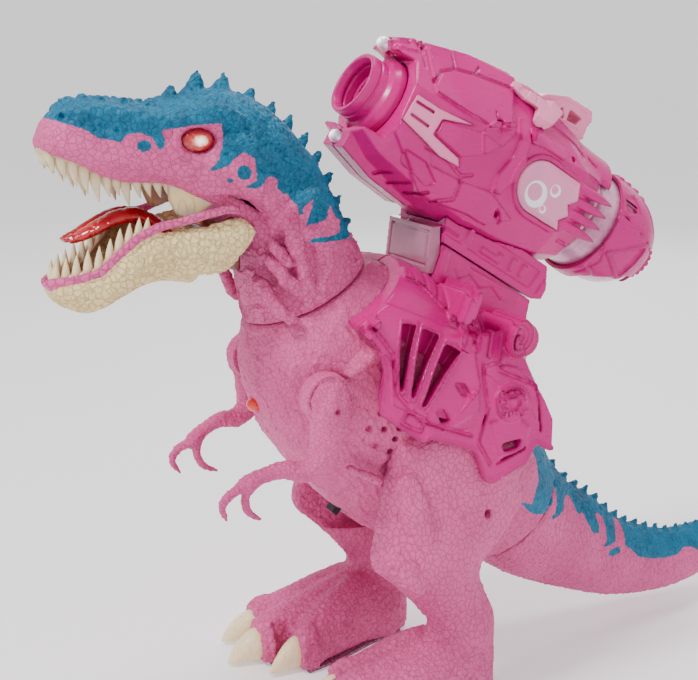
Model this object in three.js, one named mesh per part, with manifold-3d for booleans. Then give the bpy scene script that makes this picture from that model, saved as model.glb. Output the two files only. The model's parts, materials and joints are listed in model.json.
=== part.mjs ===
// A walking dinosaur toy that carries a bubble cannon on its saddle.
// Millimetres, +Z up. The dinosaur looks along -Y and its left side is +X.
import * as THREE from 'three';
import { mergeVertices } from 'three/addons/utils/BufferGeometryUtils.js';
import Module from 'manifold-3d';

const wasm = await Module();
wasm.setup();

// ---------------------------------------------------------------- driving dimensions
const FRAME_SHIFT = -89.5;      // puts the origin under the middle of the toy's length
const GAP = 0.3;                // clearance between touching pieces
const WALL = 2.6;               // thickness of the moulded skins
const SEAM = 0.15;              // half the gap between left and right shells
const BIG = 600;                // size of a cutting block

const NECK_CENTRE = [0, -27.5, 237];    // middle of the seam between neck and torso
const NECK_TILT = 27;                   // degrees that the seam rises towards the back
const NECK_PLATE = 4;                   // thickness of the floors on both sides of the seam
const SHAFT_RADIUS = 9;
const JAW_PIVOT = [0, -82, 271];
const JAW_PIN_RADIUS = 2.5;
const JAW_RECESS_RADIUS = 22.5;
const EYE_CENTRE = [30, -96, 320];
const EYE_SIZE = [4.5, 8.5, 6];
const SHOULDER = [52, -38, 190];
const HIP = [0, 38, 126];
const HIP_PLANE = 46;                   // inner face of the thighs
const HIP_RECESS_RADIUS = 47;
const AXLE_RADIUS = 3;
const FOOT_X = 48;
const SOLE_THICKNESS = 1.7;
const TAIL_SEAM = [80, 65, 129, 121];   // front and back ends of the cut between torso and tail

const CANNON_ORIGIN = [0, 8, 340];      // middle of the bore, near the muzzle
const CANNON_PITCH = 32;                // degrees that the muzzle points up
const CANNON_SIDE = 34;                 // half width of the cannon's flat sides
const BORE_RADIUS = 13.5;
const BARREL_RADIUS = 17.5;
const COLLAR_RADIUS = 22.5;
const TANK_AXIS = 10;                   // height of the tank's axis above the bore's axis
const CRADLE_BOTTOM = -49.4;            // underside of the cradle below the bore's axis

const COLOURS = {               // colour, roughness, metalness
  skin: [0xe58fc0, 0.55, 0],
  magenta: [0xd92f8f, 0.3, 0],
  pale: [0xdf9fc4, 0.4, 0],
  cream: [0xe6dfc0, 0.55, 0],
  tongue: [0xb81822, 0.4, 0],
  lamp: [0xd01020, 0.2, 0],
  clear: [0xe9dfe8, 0.15, 0],
  black: [0x202024, 0.6, 0],
  board: [0x1f6b3a, 0.5, 0],
  steel: [0xb8bcc2, 0.35, 0.9],
  white: [0xe8e8ea, 0.5, 0],
  rubber: [0x8a4a6a, 0.9, 0],
};
const radians = THREE.MathUtils.degToRad;
const degrees = THREE.MathUtils.radToDeg;

// ---------------------------------------------------------------- solids and booleans
function signedVolume(points, triangles) {
  const [a, b, c] = [new THREE.Vector3(), new THREE.Vector3(), new THREE.Vector3()];
  let sum = 0;
  for (let i = 0; i < triangles.length; i += 3) {
    a.fromArray(points, triangles[i] * 3);
    b.fromArray(points, triangles[i + 1] * 3);
    c.fromArray(points, triangles[i + 2] * 3);
    sum += a.dot(b.cross(c));
  }
  return sum;
}

// Turns a closed geometry into a solid whose faces point out, even if bending turned it inside out.
function solid(geometry) {
  const bare = geometry.clone();
  bare.deleteAttribute('normal');
  bare.deleteAttribute('uv');
  const merged = mergeVertices(bare, 1e-4);
  const points = new Float32Array(merged.attributes.position.array);
  const triangles = new Uint32Array(merged.index.array);
  if (signedVolume(points, triangles) < 0) triangles.reverse();
  return new wasm.Manifold(new wasm.Mesh({ numProp: 3, vertProperties: points, triVerts: triangles }));
}

function toGeometry(body) {
  const out = body.getMesh();
  const geometry = new THREE.BufferGeometry();
  geometry.setAttribute('position', new THREE.BufferAttribute(new Float32Array(out.vertProperties), 3));
  geometry.setIndex(new THREE.BufferAttribute(new Uint32Array(out.triVerts), 1));
  geometry.computeVertexNormals();
  return geometry;
}

function join(...bodies) {
  return bodies.reduce((sum, body) => sum.add(body));
}

function cut(body, ...tools) {
  return tools.reduce((rest, tool) => rest.subtract(tool), body);
}

function box(size, centre, turn = 0) {
  const geometry = new THREE.BoxGeometry(...size);
  geometry.rotateX(radians(turn));
  geometry.translate(...centre);
  return solid(geometry);
}

// A cylinder whose axis lies along X, Y or Z; endRadius is at its far end.
function rod(radius, length, centre, axis = 'x', sides = 24, endRadius = radius) {
  const geometry = new THREE.CylinderGeometry(endRadius, radius, length, sides);
  if (axis === 'x') geometry.rotateZ(-Math.PI / 2);
  if (axis === 'z') geometry.rotateX(Math.PI / 2);
  geometry.translate(...centre);
  return solid(geometry);
}

function blob(radii, centre, around = 16, along = 10) {
  const geometry = new THREE.SphereGeometry(1, around, along);
  geometry.scale(...radii);
  geometry.translate(...centre);
  return solid(geometry);
}

// A turned piece: the profile's points are [radius, height], closed on itself.
function turned(profile, sides = 28, axis = 'z') {
  const points = [...profile, profile[0]].map(([r, h]) => new THREE.Vector2(r, h));
  const geometry = new THREE.LatheGeometry(points, sides);
  if (axis === 'z') geometry.rotateX(Math.PI / 2);
  if (axis === 'x') geometry.rotateZ(-Math.PI / 2);
  return solid(geometry);
}

function moved(body, place) {
  const geometry = toGeometry(body);
  geometry.translate(...place);
  return solid(geometry);
}

// An outline in the (y, z) plane, extruded along X from x0 to x1.
function plate(outline, x0, x1) {
  const shape = new THREE.Shape(outline.map(([y, z]) => new THREE.Vector2(y, z)));
  const geometry = new THREE.ExtrudeGeometry(shape, { depth: x1 - x0, bevelEnabled: false });
  geometry.applyMatrix4(new THREE.Matrix4().makeBasis(
    new THREE.Vector3(0, 1, 0), new THREE.Vector3(0, 0, 1), new THREE.Vector3(1, 0, 0)));
  geometry.translate(x0, 0, 0);
  return solid(geometry);
}

// An outline in the (x, z) plane, extruded along Y from y0 to y1.
function profile(outline, y0, y1) {
  const shape = new THREE.Shape(outline.map(([x, z]) => new THREE.Vector2(x, z)));
  const geometry = new THREE.ExtrudeGeometry(shape, { depth: y1 - y0, bevelEnabled: false });
  geometry.applyMatrix4(new THREE.Matrix4().makeBasis(
    new THREE.Vector3(1, 0, 0), new THREE.Vector3(0, 0, 1), new THREE.Vector3(0, -1, 0)));
  geometry.translate(0, y1, 0);
  return solid(geometry);
}

// Smooth interpolation through a list of number rows, t from 0 to 1.
function sample(rows, t) {
  const last = rows.length - 1;
  const place = Math.min(t * last, last - 1e-9);
  const i = Math.floor(place);
  const f = place - i;
  const row = (k) => rows[Math.max(0, Math.min(last, k))];
  return rows[i].map((_, c) => {
    const [a, b, d, e] = [row(i - 1)[c], row(i)[c], row(i + 1)[c], row(i + 2)[c]];
    const [m0, m1] = [(d - a) / 2, (e - b) / 2];
    const [f2, f3] = [f * f, f * f * f];
    return (2 * f3 - 3 * f2 + 1) * b + (f3 - 2 * f2 + f) * m0 + (3 * f2 - 2 * f3) * d + (f3 - f2) * m1;
  });
}

// A lofted body: a cylinder bent so that each ring is an ellipse. A station is
// [x, y, z, ax, ay, az, bx, by, bz]: the ring's middle and its two half axes.
// A squareness below 1 makes the rings boxier.
function loft(stations, around = 20, along = 12, squareness = 1) {
  const geometry = new THREE.CylinderGeometry(1, 1, 1, around, along);
  const at = geometry.attributes.position;
  const boxy = (value) => Math.sign(value) * Math.abs(value) ** squareness;
  for (let i = 0; i < at.count; i += 1) {
    const s = sample(stations, 0.5 - at.getY(i));
    const [p, q] = [boxy(at.getX(i)), boxy(at.getZ(i))];
    at.setXYZ(i, s[0] + p * s[3] + q * s[6], s[1] + p * s[4] + q * s[7], s[2] + p * s[5] + q * s[8]);
  }
  return solid(geometry);
}

// Stations of a body that is symmetric about a plane of constant x, each given as
// [front y, front z, back y, back z, half width, x of its middle].
function spine(stations, grow = 0, widen = grow) {
  return stations.map(([fy, fz, by, bz, w, x = 0]) => {
    const half = Math.hypot(by - fy, bz - fz) / 2;
    const k = Math.max(0.4, half + grow) / half;
    return [x, (fy + by) / 2, (fz + bz) / 2, Math.max(0.4, w + widen), 0, 0,
      0, (by - fy) / 2 * k, (bz - fz) / 2 * k];
  });
}

// Stations of a limb, each given as [x, y, z, half width, half depth, tilt of the ring about X].
function limb(stations) {
  return stations.map(([x, y, z, w, d, tilt = 0]) => {
    const a = radians(tilt);
    return [x, y, z, w, 0, 0, 0, d * Math.cos(a), d * Math.sin(a)];
  });
}

const leftSide = box([BIG, BIG * 2, BIG * 2], [BIG / 2 + SEAM, 0, 0]);
const rightSide = box([BIG, BIG * 2, BIG * 2], [-BIG / 2 - SEAM, 0, 0]);

function mirrored(body) {
  const geometry = toGeometry(body);
  geometry.scale(-1, 1, 1);
  return solid(geometry);
}

function bothSides(body) {
  return join(body, mirrored(body));
}

// A block that fills one side of a tilted plane; side is +1 above it, -1 below it.
function beyond(centre, tilt, side, gap) {
  const a = radians(tilt);
  const reach = side * (BIG / 2 + gap);
  return box([BIG, BIG, BIG], [centre[0], centre[1] - Math.sin(a) * reach,
    centre[2] + Math.cos(a) * reach], tilt);
}

// Stands a body that was made upright about the origin on the tilted plane of the neck seam.
function onNeck(body) {
  const geometry = toGeometry(body);
  geometry.rotateX(radians(NECK_TILT));
  geometry.translate(...NECK_CENTRE);
  return solid(geometry);
}

// ---------------------------------------------------------------- the scene graph
const toy = new THREE.Group();
const cannon = new THREE.Group();
cannon.position.set(...CANNON_ORIGIN);
cannon.rotation.x = radians(-CANNON_PITCH);
cannon.updateMatrix();
toy.add(cannon);

function add(name, body, look, parent = toy) {
  const [color, roughness, metalness] = COLOURS[look];
  const mesh = new THREE.Mesh(toGeometry(body), new THREE.MeshStandardMaterial({ color, roughness,
    metalness }));
  mesh.name = name;
  parent.add(mesh);
}

function addHalves(name, body, look, parent = toy) {
  add(`${name}_left`, body.intersect(leftSide), look, parent);
  add(`${name}_right`, body.intersect(rightSide), look, parent);
}

function addPair(name, leftBody, look, parent = toy) {
  add(`${name}_left`, leftBody, look, parent);
  add(`${name}_right`, mirrored(leftBody), look, parent);
}

// Carries a body from the cannon's own frame into the toy's frame, or back.
function fromCannon(body, back = false) {
  const geometry = toGeometry(body);
  geometry.applyMatrix4(back ? cannon.matrix.clone().invert() : cannon.matrix);
  return solid(geometry);
}

// ---------------------------------------------------------------- torso
const torsoStations = [
  [-63, 240, 12, 279, 34],
  [-59, 222, 4, 254, 35],
  [-61, 203, 26, 243, 44],
  [-57, 178, 52, 227, 50],
  [-45, 153, 76, 204, 54],
  [-22, 124, 97, 178, 55],
  [8, 97, 112, 151, 52],
  [45, 76, 121, 134, 46],
  [80, 65, 129, 121, 38],
  [98, 54, 142, 106, 34],
];
const tailTilt = degrees(Math.atan2(TAIL_SEAM[3] - TAIL_SEAM[1], TAIL_SEAM[2] - TAIL_SEAM[0]));
const tailMiddle = [0, (TAIL_SEAM[0] + TAIL_SEAM[2]) / 2, (TAIL_SEAM[1] + TAIL_SEAM[3]) / 2];
const torsoOuter = loft(spine(torsoStations), 16, 10);
const torsoInner = loft(spine(torsoStations, -WALL), 12, 8);

// Flat recesses for the thighs and the shoulders, deepened by depth.
const sideRecesses = (depth) => bothSides(join(
  rod(HIP_RECESS_RADIUS + depth, 40, [HIP_PLANE - 1.5 - depth + 20, HIP[1], HIP[2]], 'x', 20),
  rod(13.8 + depth, 40, [SHOULDER[0] - 9 - depth + 20, SHOULDER[1], SHOULDER[2]], 'x', 12),
));
const axleHole = rod(AXLE_RADIUS + GAP, 160, HIP, 'x', 16);
const COVER_PLACE = [0, 52, 62];
const COVER_TILT = 28;
const coverBlock = (size, height) => box([size, size, height], COVER_PLACE, COVER_TILT);
const SWITCH_PLACE = [0, -6, 110];
const SWITCH_TILT = -42;
const SPEAKER_HOLES = [[-13, 170], [-5, 169], [3, 169], [1, 163], [-9, 160], [-1, 156], [-7, 178]];
const speakerHoles = join(...SPEAKER_HOLES.map(([y, z]) => rod(1.3, 30, [50, y, z], 'x', 4)));

const torsoShell = cut(
  torsoOuter.intersect(beyond(NECK_CENTRE, NECK_TILT, -1, GAP)).intersect(beyond(tailMiddle, tailTilt,
    1, GAP)),
  sideRecesses(0),
  cut(torsoInner.intersect(beyond(NECK_CENTRE, NECK_TILT, -1, NECK_PLATE)), sideRecesses(WALL)),
  axleHole,
  coverBlock(46, 60),
  box([15, 5, 20], SWITCH_PLACE, SWITCH_TILT),
  rod(4, 20, [0, -57, 176], 'y', 14),
  onNeck(rod(13.3, 30, [0, 0, 0], 'z', 16)),
  speakerHoles,
);
addHalves('torso', torsoShell, 'skin');
const coverSkin = cut(torsoOuter, torsoInner).intersect(coverBlock(45.4, 60));
add('battery_cover', cut(coverSkin, rod(2.3, 60, [0, 36, 74], 'z', 12)), 'skin');
add('cover_screw', rod(1.9, 7, [0, 36, 81], 'z', 10), 'steel');
add('chest_lamp', blob([3.6, 4.4, 3.6], [0, -56.6, 176], 10, 6), 'lamp');

// ---------------------------------------------------------------- inside the torso
const cells = (extra) => join(...[0, 1, 2].map(
  (i) => rod(7 + extra, 44 + 2 * extra, [0, 48 + 13.4 * i, 94 - 2 * i], 'x', 12)));
add('battery_pack', cells(0), 'white');
const tray = box([49, 45, 15], [0, 61.4, 94.5]).intersect(loft(spine(torsoStations, -WALL - 1), 12, 8));
add('battery_box', cut(tray, cells(0.6), box([45.2, 30, 10], [0, 61.4, 87])), 'black');

add('gearbox', cut(box([50, 46, 40], [0, 38, 126]), box([40, 38, 44], [0, 38, 131]), axleHole),
  'black');
add('hip_axle', rod(AXLE_RADIUS, 118, HIP, 'x', 16), 'steel');
const toothed = (teeth, inner, outer) => Array.from({ length: teeth * 2 }, (_, i) => {
  const turn = Math.PI * i / teeth;
  const r = i % 2 ? inner : outer;
  return [r * Math.cos(turn), r * Math.sin(turn)];
});
const gear = cut(plate(toothed(24, 13.5, 16), -2.5, 2.5), rod(AXLE_RADIUS + GAP, 20, [0, 0, 0], 'x',
  16));
add('crank_gear', moved(gear, HIP), 'white');
add('drive_motor', join(rod(10, 26, [0, 38, 164], 'x', 20), rod(1, 34, [0, 38, 164], 'x', 8)), 'steel');
add('speaker', join(rod(11, 4, [38, -6, 168], 'x', 16), rod(6, 8, [35, -6, 168], 'x', 12)), 'black');
add('circuit_board', join(box([44, 1.6, 36], [0, -28, 196]), box([12, 4, 12], [6, -26, 200]),
  box([8, 3, 8], [-12, -26.5, 188])), 'board');
const neckBush = turned([[SHAFT_RADIUS + GAP, -0.8], [13, -0.8], [13, -4.4], [16, -4.4], [16, -6.4],
  [SHAFT_RADIUS + GAP, -6.4]], 16);
add('neck_bush', onNeck(neckBush), 'white');
const slider = join(box([8, 4.2, 12], SWITCH_PLACE, SWITCH_TILT),
  moved(box([12, 9, 1.6], [0, 0, 0], SWITCH_TILT), [0, SWITCH_PLACE[1] + 3.6, SWITCH_PLACE[2] + 4]));
add('power_switch', moved(slider, [-2.8, 0, 0]), 'black');

// ---------------------------------------------------------------- tail
const tailStations = [
  [62, 76, 117, 138, 42],
  [80, 65, 129, 121, 38],
  [105, 48, 150, 98, 31],
  [127, 37, 170, 84, 26],
  [152, 27, 190, 67, 22],
  [180, 17, 211, 57, 18.5],
  [208, 12, 232, 50, 16],
  [236, 11, 254, 49, 14],
  [262, 16, 272, 51, 12.5],
  [286, 28, 288, 58, 10],
  [309, 46, 303, 68, 7],
  [328, 66, 317, 81, 4.5],
  [343, 93, 340, 95, 1],
];
const tailOuter = loft(spine(tailStations), 12, 12).intersect(beyond(tailMiddle, tailTilt, -1, GAP));
const tailInner = loft(spine(tailStations.slice(0, 9), -WALL), 8, 5);
addHalves('tail', cut(tailOuter, tailInner.intersect(beyond(tailMiddle, tailTilt, -1, 3))), 'skin');

// ---------------------------------------------------------------- head and neck
const neckStations = [
  [-56, 206, 11, 236, 34],
  [-59, 222, 3, 252, 34.5],
  [-61, 240, -6, 268, 33.5],
  [-62, 256, -16, 288, 33.5],
  [-67, 270, -29, 310, 34],
  [-80, 288, -46, 326, 33],
];
const skullStations = [
  [-164, 316, -164, 321, 8],
  [-161, 309, -159, 330, 15],
  [-151, 304, -149, 338, 19],
  [-140, 300, -139, 340, 21],
  [-125, 297, -124, 338, 24.5],
  [-110, 294, -108, 337, 28.5],
  [-98, 289, -95, 341, 33],
  [-85, 282, -79, 343, 36],
  [-72, 274, -65, 340, 36.5],
  [-60, 266, -51, 332, 35.5],
  [-52, 262, -40, 320, 32],
];
const SKULL_BOXINESS = 0.82;
const skull = (grow) => join(
  loft(spine(skullStations, grow), grow ? 12 : 14, grow ? 8 : 11, SKULL_BOXINESS),
  loft(spine(neckStations, grow), 12, 4),
);
// The upper lip, from the snout to the corner of the mouth.
const lipLine = [[-180, 326], [-164, 315], [-150, 309], [-140, 304], [-128, 300], [-110, 299], [-103,
  296], [-97, 291]];
const shiftLine = (line, rise) => line.map(([y, z]) => [y, z + rise]);
const underLip = (rise) => plate([...shiftLine(lipLine, rise), [-97, 180], [-200, 180], [-200, 326]],
  -60, 60);
const lipBand = (low, high) => plate([...shiftLine(lipLine, low), ...shiftLine(lipLine,
  high).reverse()], -60, 60);
const jawRecess = bothSides(rod(JAW_RECESS_RADIUS, 40, [27.6 + 20, JAW_PIVOT[1], JAW_PIVOT[2]], 'x',
  20));
const lug = plate([[-91, 268], [-91, 275], [-86, 280], [-78, 280], [-50, 284], [-50, 258], [-78, 262],
  [-86, 262]],
  21, 27.3);
const pinHole = rod(JAW_PIN_RADIUS + GAP, 90, JAW_PIVOT, 'x', 14);
const eyeHole = bothSides(blob([EYE_SIZE[0] + 0.4, EYE_SIZE[1] + 0.4, EYE_SIZE[2] + 0.4], EYE_CENTRE,
  12, 6));
add('neck_shaft', onNeck(turned([[5, -10], [12.5, -10], [12.5, -7], [SHAFT_RADIUS, -7], [SHAFT_RADIUS,
  4.4],
  [13, 4.4], [13, 7.5], [5, 7.5]], 16)), 'white');
add('jaw_pin', rod(JAW_PIN_RADIUS, 64, JAW_PIVOT, 'x', 14), 'steel');
addPair('eye', blob(EYE_SIZE, EYE_CENTRE, 12, 6), 'lamp');

// A conical tooth or claw between two points.
function spike(base, tip, radius, sides = 4) {
  const geometry = new THREE.CylinderGeometry(0.25, radius, 1, sides);
  const [from, to] = [new THREE.Vector3(...base), new THREE.Vector3(...tip)];
  const along = to.clone().sub(from);
  geometry.scale(1, along.length(), 1);
  geometry.applyQuaternion(new THREE.Quaternion().setFromUnitVectors(new THREE.Vector3(0, 1, 0),
    along.normalize()));
  geometry.translate(...from.add(to).multiplyScalar(0.5).toArray());
  return solid(geometry);
}

// Height of a line of [y, z] points at a given y.
function heightAt(line, y) {
  const i = line.findIndex((row, k) => k > 0 && row[0] >= y);
  const [low, high] = [line[i - 1], line[i]];
  return low[1] + (high[1] - low[1]) * (y - low[0]) / (high[0] - low[0]);
}

// Half width at height z of a lofted section, shrunk by inset, whose sections stand nearly upright.
function rimAt(stations, boxiness, y, z, inset) {
  const i = stations.findIndex((row, k) => k > 0 && row[0] >= y);
  const [low, high] = [stations[i - 1], stations[i]];
  const f = (y - low[0]) / (high[0] - low[0]);
  const [, bottom, , top, width] = low.map((value, k) => value + (high[k] - value) * f);
  const q = Math.min(1,
    Math.abs(z - (top + bottom) / 2) / ((top - bottom) / 2 - inset)) ** (1 / boxiness);
  return (1 - q * q) ** (boxiness / 2) * (width - inset);
}

const UPPER_TEETH = [[-157, 9], [-151, 10], [-145, 11], [-138, 11], [-131, 8], [-124, 7], [-117, 8],
  [-110, 7]];
const palateRoom = loft(spine(skullStations, -WALL - GAP), 12, 8, SKULL_BOXINESS);
const palate = palateRoom.intersect(lipBand(0.6, 7));
const upperTeeth = (extra) => join(...UPPER_TEETH.map(([y, length]) => {
  const z = heightAt(lipLine, y);
  const x = rimAt(skullStations, SKULL_BOXINESS, y, z + 5, WALL + 2.4);
  return bothSides(spike([x, y, z + 5 + extra], [x, y, z - length], 2.2 + extra));
}));
add('upper_teeth', join(palate, upperTeeth(0)), 'cream');

const skullOuter = skull(0);
const skullInner = skull(-WALL);
const headShell = cut(
  join(
    cut(skullOuter.intersect(beyond(NECK_CENTRE, NECK_TILT, 1, GAP)),
      skullInner.intersect(beyond(NECK_CENTRE, NECK_TILT, 1, NECK_PLATE)), jawRecess),
    bothSides(lug),
  ),
  underLip(0), upperTeeth(0.4), pinHole, eyeHole, onNeck(rod(SHAFT_RADIUS + GAP, 30, [0, 0, 0], 'z',
    16)),
);
addHalves('head', headShell, 'skin');

// ---------------------------------------------------------------- lower jaw
const jawStations = [
  [-164, 248, -164, 252, 6],
  [-160, 242, -160, 255, 12.5],
  [-150, 237, -151, 257, 18],
  [-142, 238, -142, 260, 21.5],
  [-132, 243, -134, 268, 25],
  [-122, 248, -125, 276, 27.5],
  [-112, 250, -115, 281, 29.5],
  [-102, 249, -104, 283, 31.5],
  [-91, 247, -93, 286, 33.5],
  [-81, 250, -82, 288, 34],
  [-73, 259, -74, 287, 33.5],
  [-67, 270, -68, 279, 32],
];
const JAW_BOXINESS = 0.8;
const raised = (rise) => jawStations.map(([fy, fz, by, bz, w]) => [fy, fz + rise, by, bz + 24, w]);
const jawTrough = loft(spine(raised(4.5), 0, -5.6), 10, 9, JAW_BOXINESS);
const jawShell = cut(loft(spine(jawStations), 14, 12, JAW_BOXINESS), jawTrough,
  box([55.4, 40, 80], [0, -76, 271]), pinHole);
add('jaw', jawShell, 'cream');
const LOWER_TEETH = [[-156, 8], [-150, 9], [-144, 9], [-138, 9], [-132, 8], [-126, 7], [-120, 6]];
const jawTop = jawStations.map(([, , by, bz]) => [by, bz]);
const widthAt = (stations, y) => heightAt(stations.map((row) => [row[0], row[4]]), y);
const jawBand = plate([...shiftLine(jawTop.slice(0, 8), -4.5), ...shiftLine(jawTop.slice(0, 8),
  0.5).reverse()], -60, 60);
const lowerGum = cut(loft(spine(raised(4.8), 0, -6), 10, 9, JAW_BOXINESS),
  loft(spine(raised(0), 10, -9), 8, 8, JAW_BOXINESS)).intersect(jawBand);
const lowerTeeth = LOWER_TEETH.map(([y, length]) => {
  const z = heightAt(jawTop, y);
  const x = widthAt(jawStations, y) - 8.2;
  return bothSides(spike([x, y, z - 2.4], [x, y - 0.5, z + length], 1.6));
});
add('lower_teeth', join(lowerGum, box([21, 3, 3], [0, -150, 254.5]), ...lowerTeeth), 'cream');
add('tongue', loft(limb([
  [0, -100, 259.4, 10, 1, 10],
  [0, -102, 266, 11, 5, 30],
  [0, -109, 277, 12.5, 5, 60],
  [0, -120, 283.5, 12, 4.5, 85],
  [0, -132, 283, 11, 4.2, 98],
  [0, -143, 279.5, 9, 3.6, 96],
  [0, -152, 280, 5, 2, 84],
  [0, -155, 280.5, 1, 0.6, 84],
]), 10, 9), 'tongue');

// ---------------------------------------------------------------- arms
const upperArm = limb([
  [53, -38, 198, 5, 8],
  [53, -38, 190, 8, 11],
  [54, -38, 180, 8.5, 10.5],
  [55, -41, 168, 7, 8.6],
  [55, -45, 158, 6, 7, -30],
  [54, -54, 154.5, 5.2, 5.6, -75],
  [53, -64, 157, 4.6, 4.4, -98],
  [52, -74, 155.5, 4, 3.6, -85],
  [51, -82, 152, 5, 4.2, -70],
  [50, -87, 150, 3, 2.5, -65],
]);
const fingers = [
  [[51, -84, 151, 2.6, 2.4, -70], [53, -92, 149, 2.4, 2.2, -80], [53, -97, 143, 2, 1.9, -20], [52,
    -94, 135, 0.6, 0.6, 10]],
  [[50, -80, 152, 2.8, 2.6, -20], [49, -83, 144, 2.4, 2.2, 0], [48, -81, 136, 2, 1.9, 10], [47, -74,
    131, 0.6, 0.6, 50]],
];
const arm = join(
  rod(12.8, 10, [SHOULDER[0] - 3.4, SHOULDER[1], SHOULDER[2]], 'x', 14),
  loft(upperArm, 8, 9),
  ...fingers.map((finger) => loft(limb(finger), 4, 3)),
);
add('arm_left', arm, 'skin');
// The right arm hangs a little lower than the left one.
const ARM_DROP = 12;
const aboutShoulder = toGeometry(mirrored(arm));
aboutShoulder.translate(0, -SHOULDER[1], -SHOULDER[2]);
aboutShoulder.rotateX(radians(ARM_DROP));
aboutShoulder.translate(0, SHOULDER[1], SHOULDER[2]);
add('arm_right', solid(aboutShoulder), 'skin');

// ---------------------------------------------------------------- legs
const thighStations = [
  [16, 165, 54, 163, 5, 51],
  [4, 157, 70, 154, 9, 51],
  [0, 142, 79, 136, 11.5, 50],
  [-3, 124, 78, 116, 13.5, 50],
  [-7, 108, 66, 100, 16, 50],
  [-8, 94, 54, 90, 15.5, 51],
  [4, 82, 50, 80, 14, 51],
  [18, 67, 55, 66, 12, 50],
  [27, 55, 61, 53, 11.5, 50],
  [26, 44, 62, 40, 11.5, 50],
  [18, 32, 62, 22, 13, 50],
  [14, 20, 62, 4, 14, 50],
  [14, 4, 60, 0, 14, 50],
];
const TOES = [          // x at the ankle, x and y at the claw's root, half width
  [56, 70, -30, 11.5],
  [50, 46, -37, 12],
  [42, 26, -20, 10.5],
];
const toe = ([x0, x1, y1, w]) => loft(limb([
  [x0, 46, 14, 10, 14],
  [x0, 30, 21, 11, 21],
  [(x0 * 2 + x1) / 3, 12, 19, w, 19],
  [(x0 + x1 * 2) / 3, (y1 * 2 + 12) / 3, 13, w, 14.5],
  [x1, y1 + 5, 11.5, w - 0.5, 13],
  [x1, y1 - 1.5, 10.5, w - 2.5, 10.5],
].map(([x, y, z, a, b]) => [x, y, z, a, b, 90])), 8, 4);
const thighFlat = box([BIG, 200, 120], [HIP_PLANE - BIG / 2, 40, 138]);
const aboveFloor = (z) => box([BIG, BIG, BIG], [0, 0, z + BIG / 2]);
const footBody = join(...TOES.map(toe));
const legOuter = join(cut(loft(spine(thighStations), 12, 11), thighFlat), footBody);
const legCore = cut(loft(spine(thighStations.slice(1, 10), -WALL), 8, 6), box([BIG, 200, 140],
  [HIP_PLANE + WALL - BIG / 2, 40, 150]));
const clawBar = (extra) => join(
  ...TOES.map(([, x, y]) => box([5 + extra, -12 - y + extra, 4 + extra], [x, (y - 20) / 2, 10])),
  box([49 + extra, 4 + extra, 4 + extra], [48, -16, 10]));
const claws = TOES.map(([x0, x1, y1, w]) => {
  const lean = (x1 - x0) / (46 - y1);
  return loft(limb([
    [x1, y1 - 1.9, 10.5, w - 3.4, 9.6],
    [x1 + lean * 6, y1 - 8, 10, w - 5.2, 8],
    [x1 + lean * 14, y1 - 15, 6.5, w - 8.2, 5],
    [x1 + lean * 17, y1 - 20, 2.6, 0.6, 0.8],
  ].map(([x, y, z, a, b]) => [x, y, z, a, b, 90])), 6, 3);
});
const hub = rod(8, 12, [HIP_PLANE + 6, HIP[1], HIP[2]], 'x', 16);
const legShell = cut(join(cut(legOuter, legCore),
  hub.intersect(legOuter)).intersect(aboveFloor(SOLE_THICKNESS + GAP)),
  axleHole, clawBar(0.7), ...TOES.map(([, x1, y1]) => box([26, 10, 60], [x1, y1 - 7, 20])));
addPair('leg_outer', legShell.intersect(box([BIG, BIG, BIG], [FOOT_X + SEAM + BIG / 2, 0, BIG / 2])),
  'skin');
addPair('leg_inner', legShell.intersect(box([BIG, BIG, BIG], [FOOT_X - SEAM - BIG / 2, 0, BIG / 2])),
  'skin');
addPair('claws', join(clawBar(0), ...claws).intersect(aboveFloor(0.6)), 'cream');
const SOLE = [[38, 56], [31, 30], [20, 2], [16, -18], [35, -18], [36, -34], [56, -34], [60, -27], [80,
  -27], [78, -8], [68, 20],
  [66, 42], [60, 57]];
const soleShape = new THREE.Shape(SOLE.map(([x, y]) => new THREE.Vector2(x, y)));
addPair('sole', solid(new THREE.ExtrudeGeometry(soleShape, { depth: SOLE_THICKNESS,
  bevelEnabled: false })), 'rubber');

// ---------------------------------------------------------------- saddle
const saddleOutline = [[-34, 300], [-23, 262], [-20, 243], [-24, 235], [-22, 225], [-11, 215], [-7,
  203], [-10, 184],
  [-9, 181], [15, 164], [19, 166], [46, 155], [53, 137], [58, 135], [79, 143], [85, 153], [94, 148],
    [130, 150], [130, 300]];
const VENTS = [
  [[3, 226], [11, 224], [3, 193], [1, 194]],
  [[15, 222], [25, 217], [9, 189], [7, 190]],
  [[29, 213], [38, 208], [15, 184], [13, 185]],
];
const saddleOuter = join(
  loft(spine(torsoStations, 8.5, 12.5), 16, 9),
  bothSides(rod(9.5, 32, [38.5, 79, 208], 'x', 14)),
);
const FLARE = [[50, 173.5], [64.2, 173.5], [64.2, 130], [67.5, 130], [67.5, 178], [57, 214], [50, 214]];
const flare = bothSides(profile(FLARE, 18, 96));
const saddleInner = loft(spine(torsoStations, 0.7), 16, 10);
const thighRoom = bothSides(rod(HIP_RECESS_RADIUS - 1, 40, [63.6 - 20, HIP[1], HIP[2]], 'x', 20));
const shoulderRoom = bothSides(rod(16, 60, [SHOULDER[0] - 8 + 30, SHOULDER[1], SHOULDER[2]], 'x', 20));
const saddleShell = cut(
  join(saddleOuter, flare).intersect(plate(saddleOutline, -90, 90)).intersect(beyond(NECK_CENTRE,
    NECK_TILT, -1, -11)),
  saddleInner, thighRoom, shoulderRoom,
  onNeck(rod(40, 200, [0, 0, 60], 'z', 24)),
  ...VENTS.map((outline) => bothSides(plate(outline, 57.5, 90))),
);
addHalves('saddle', saddleShell, 'magenta');

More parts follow.
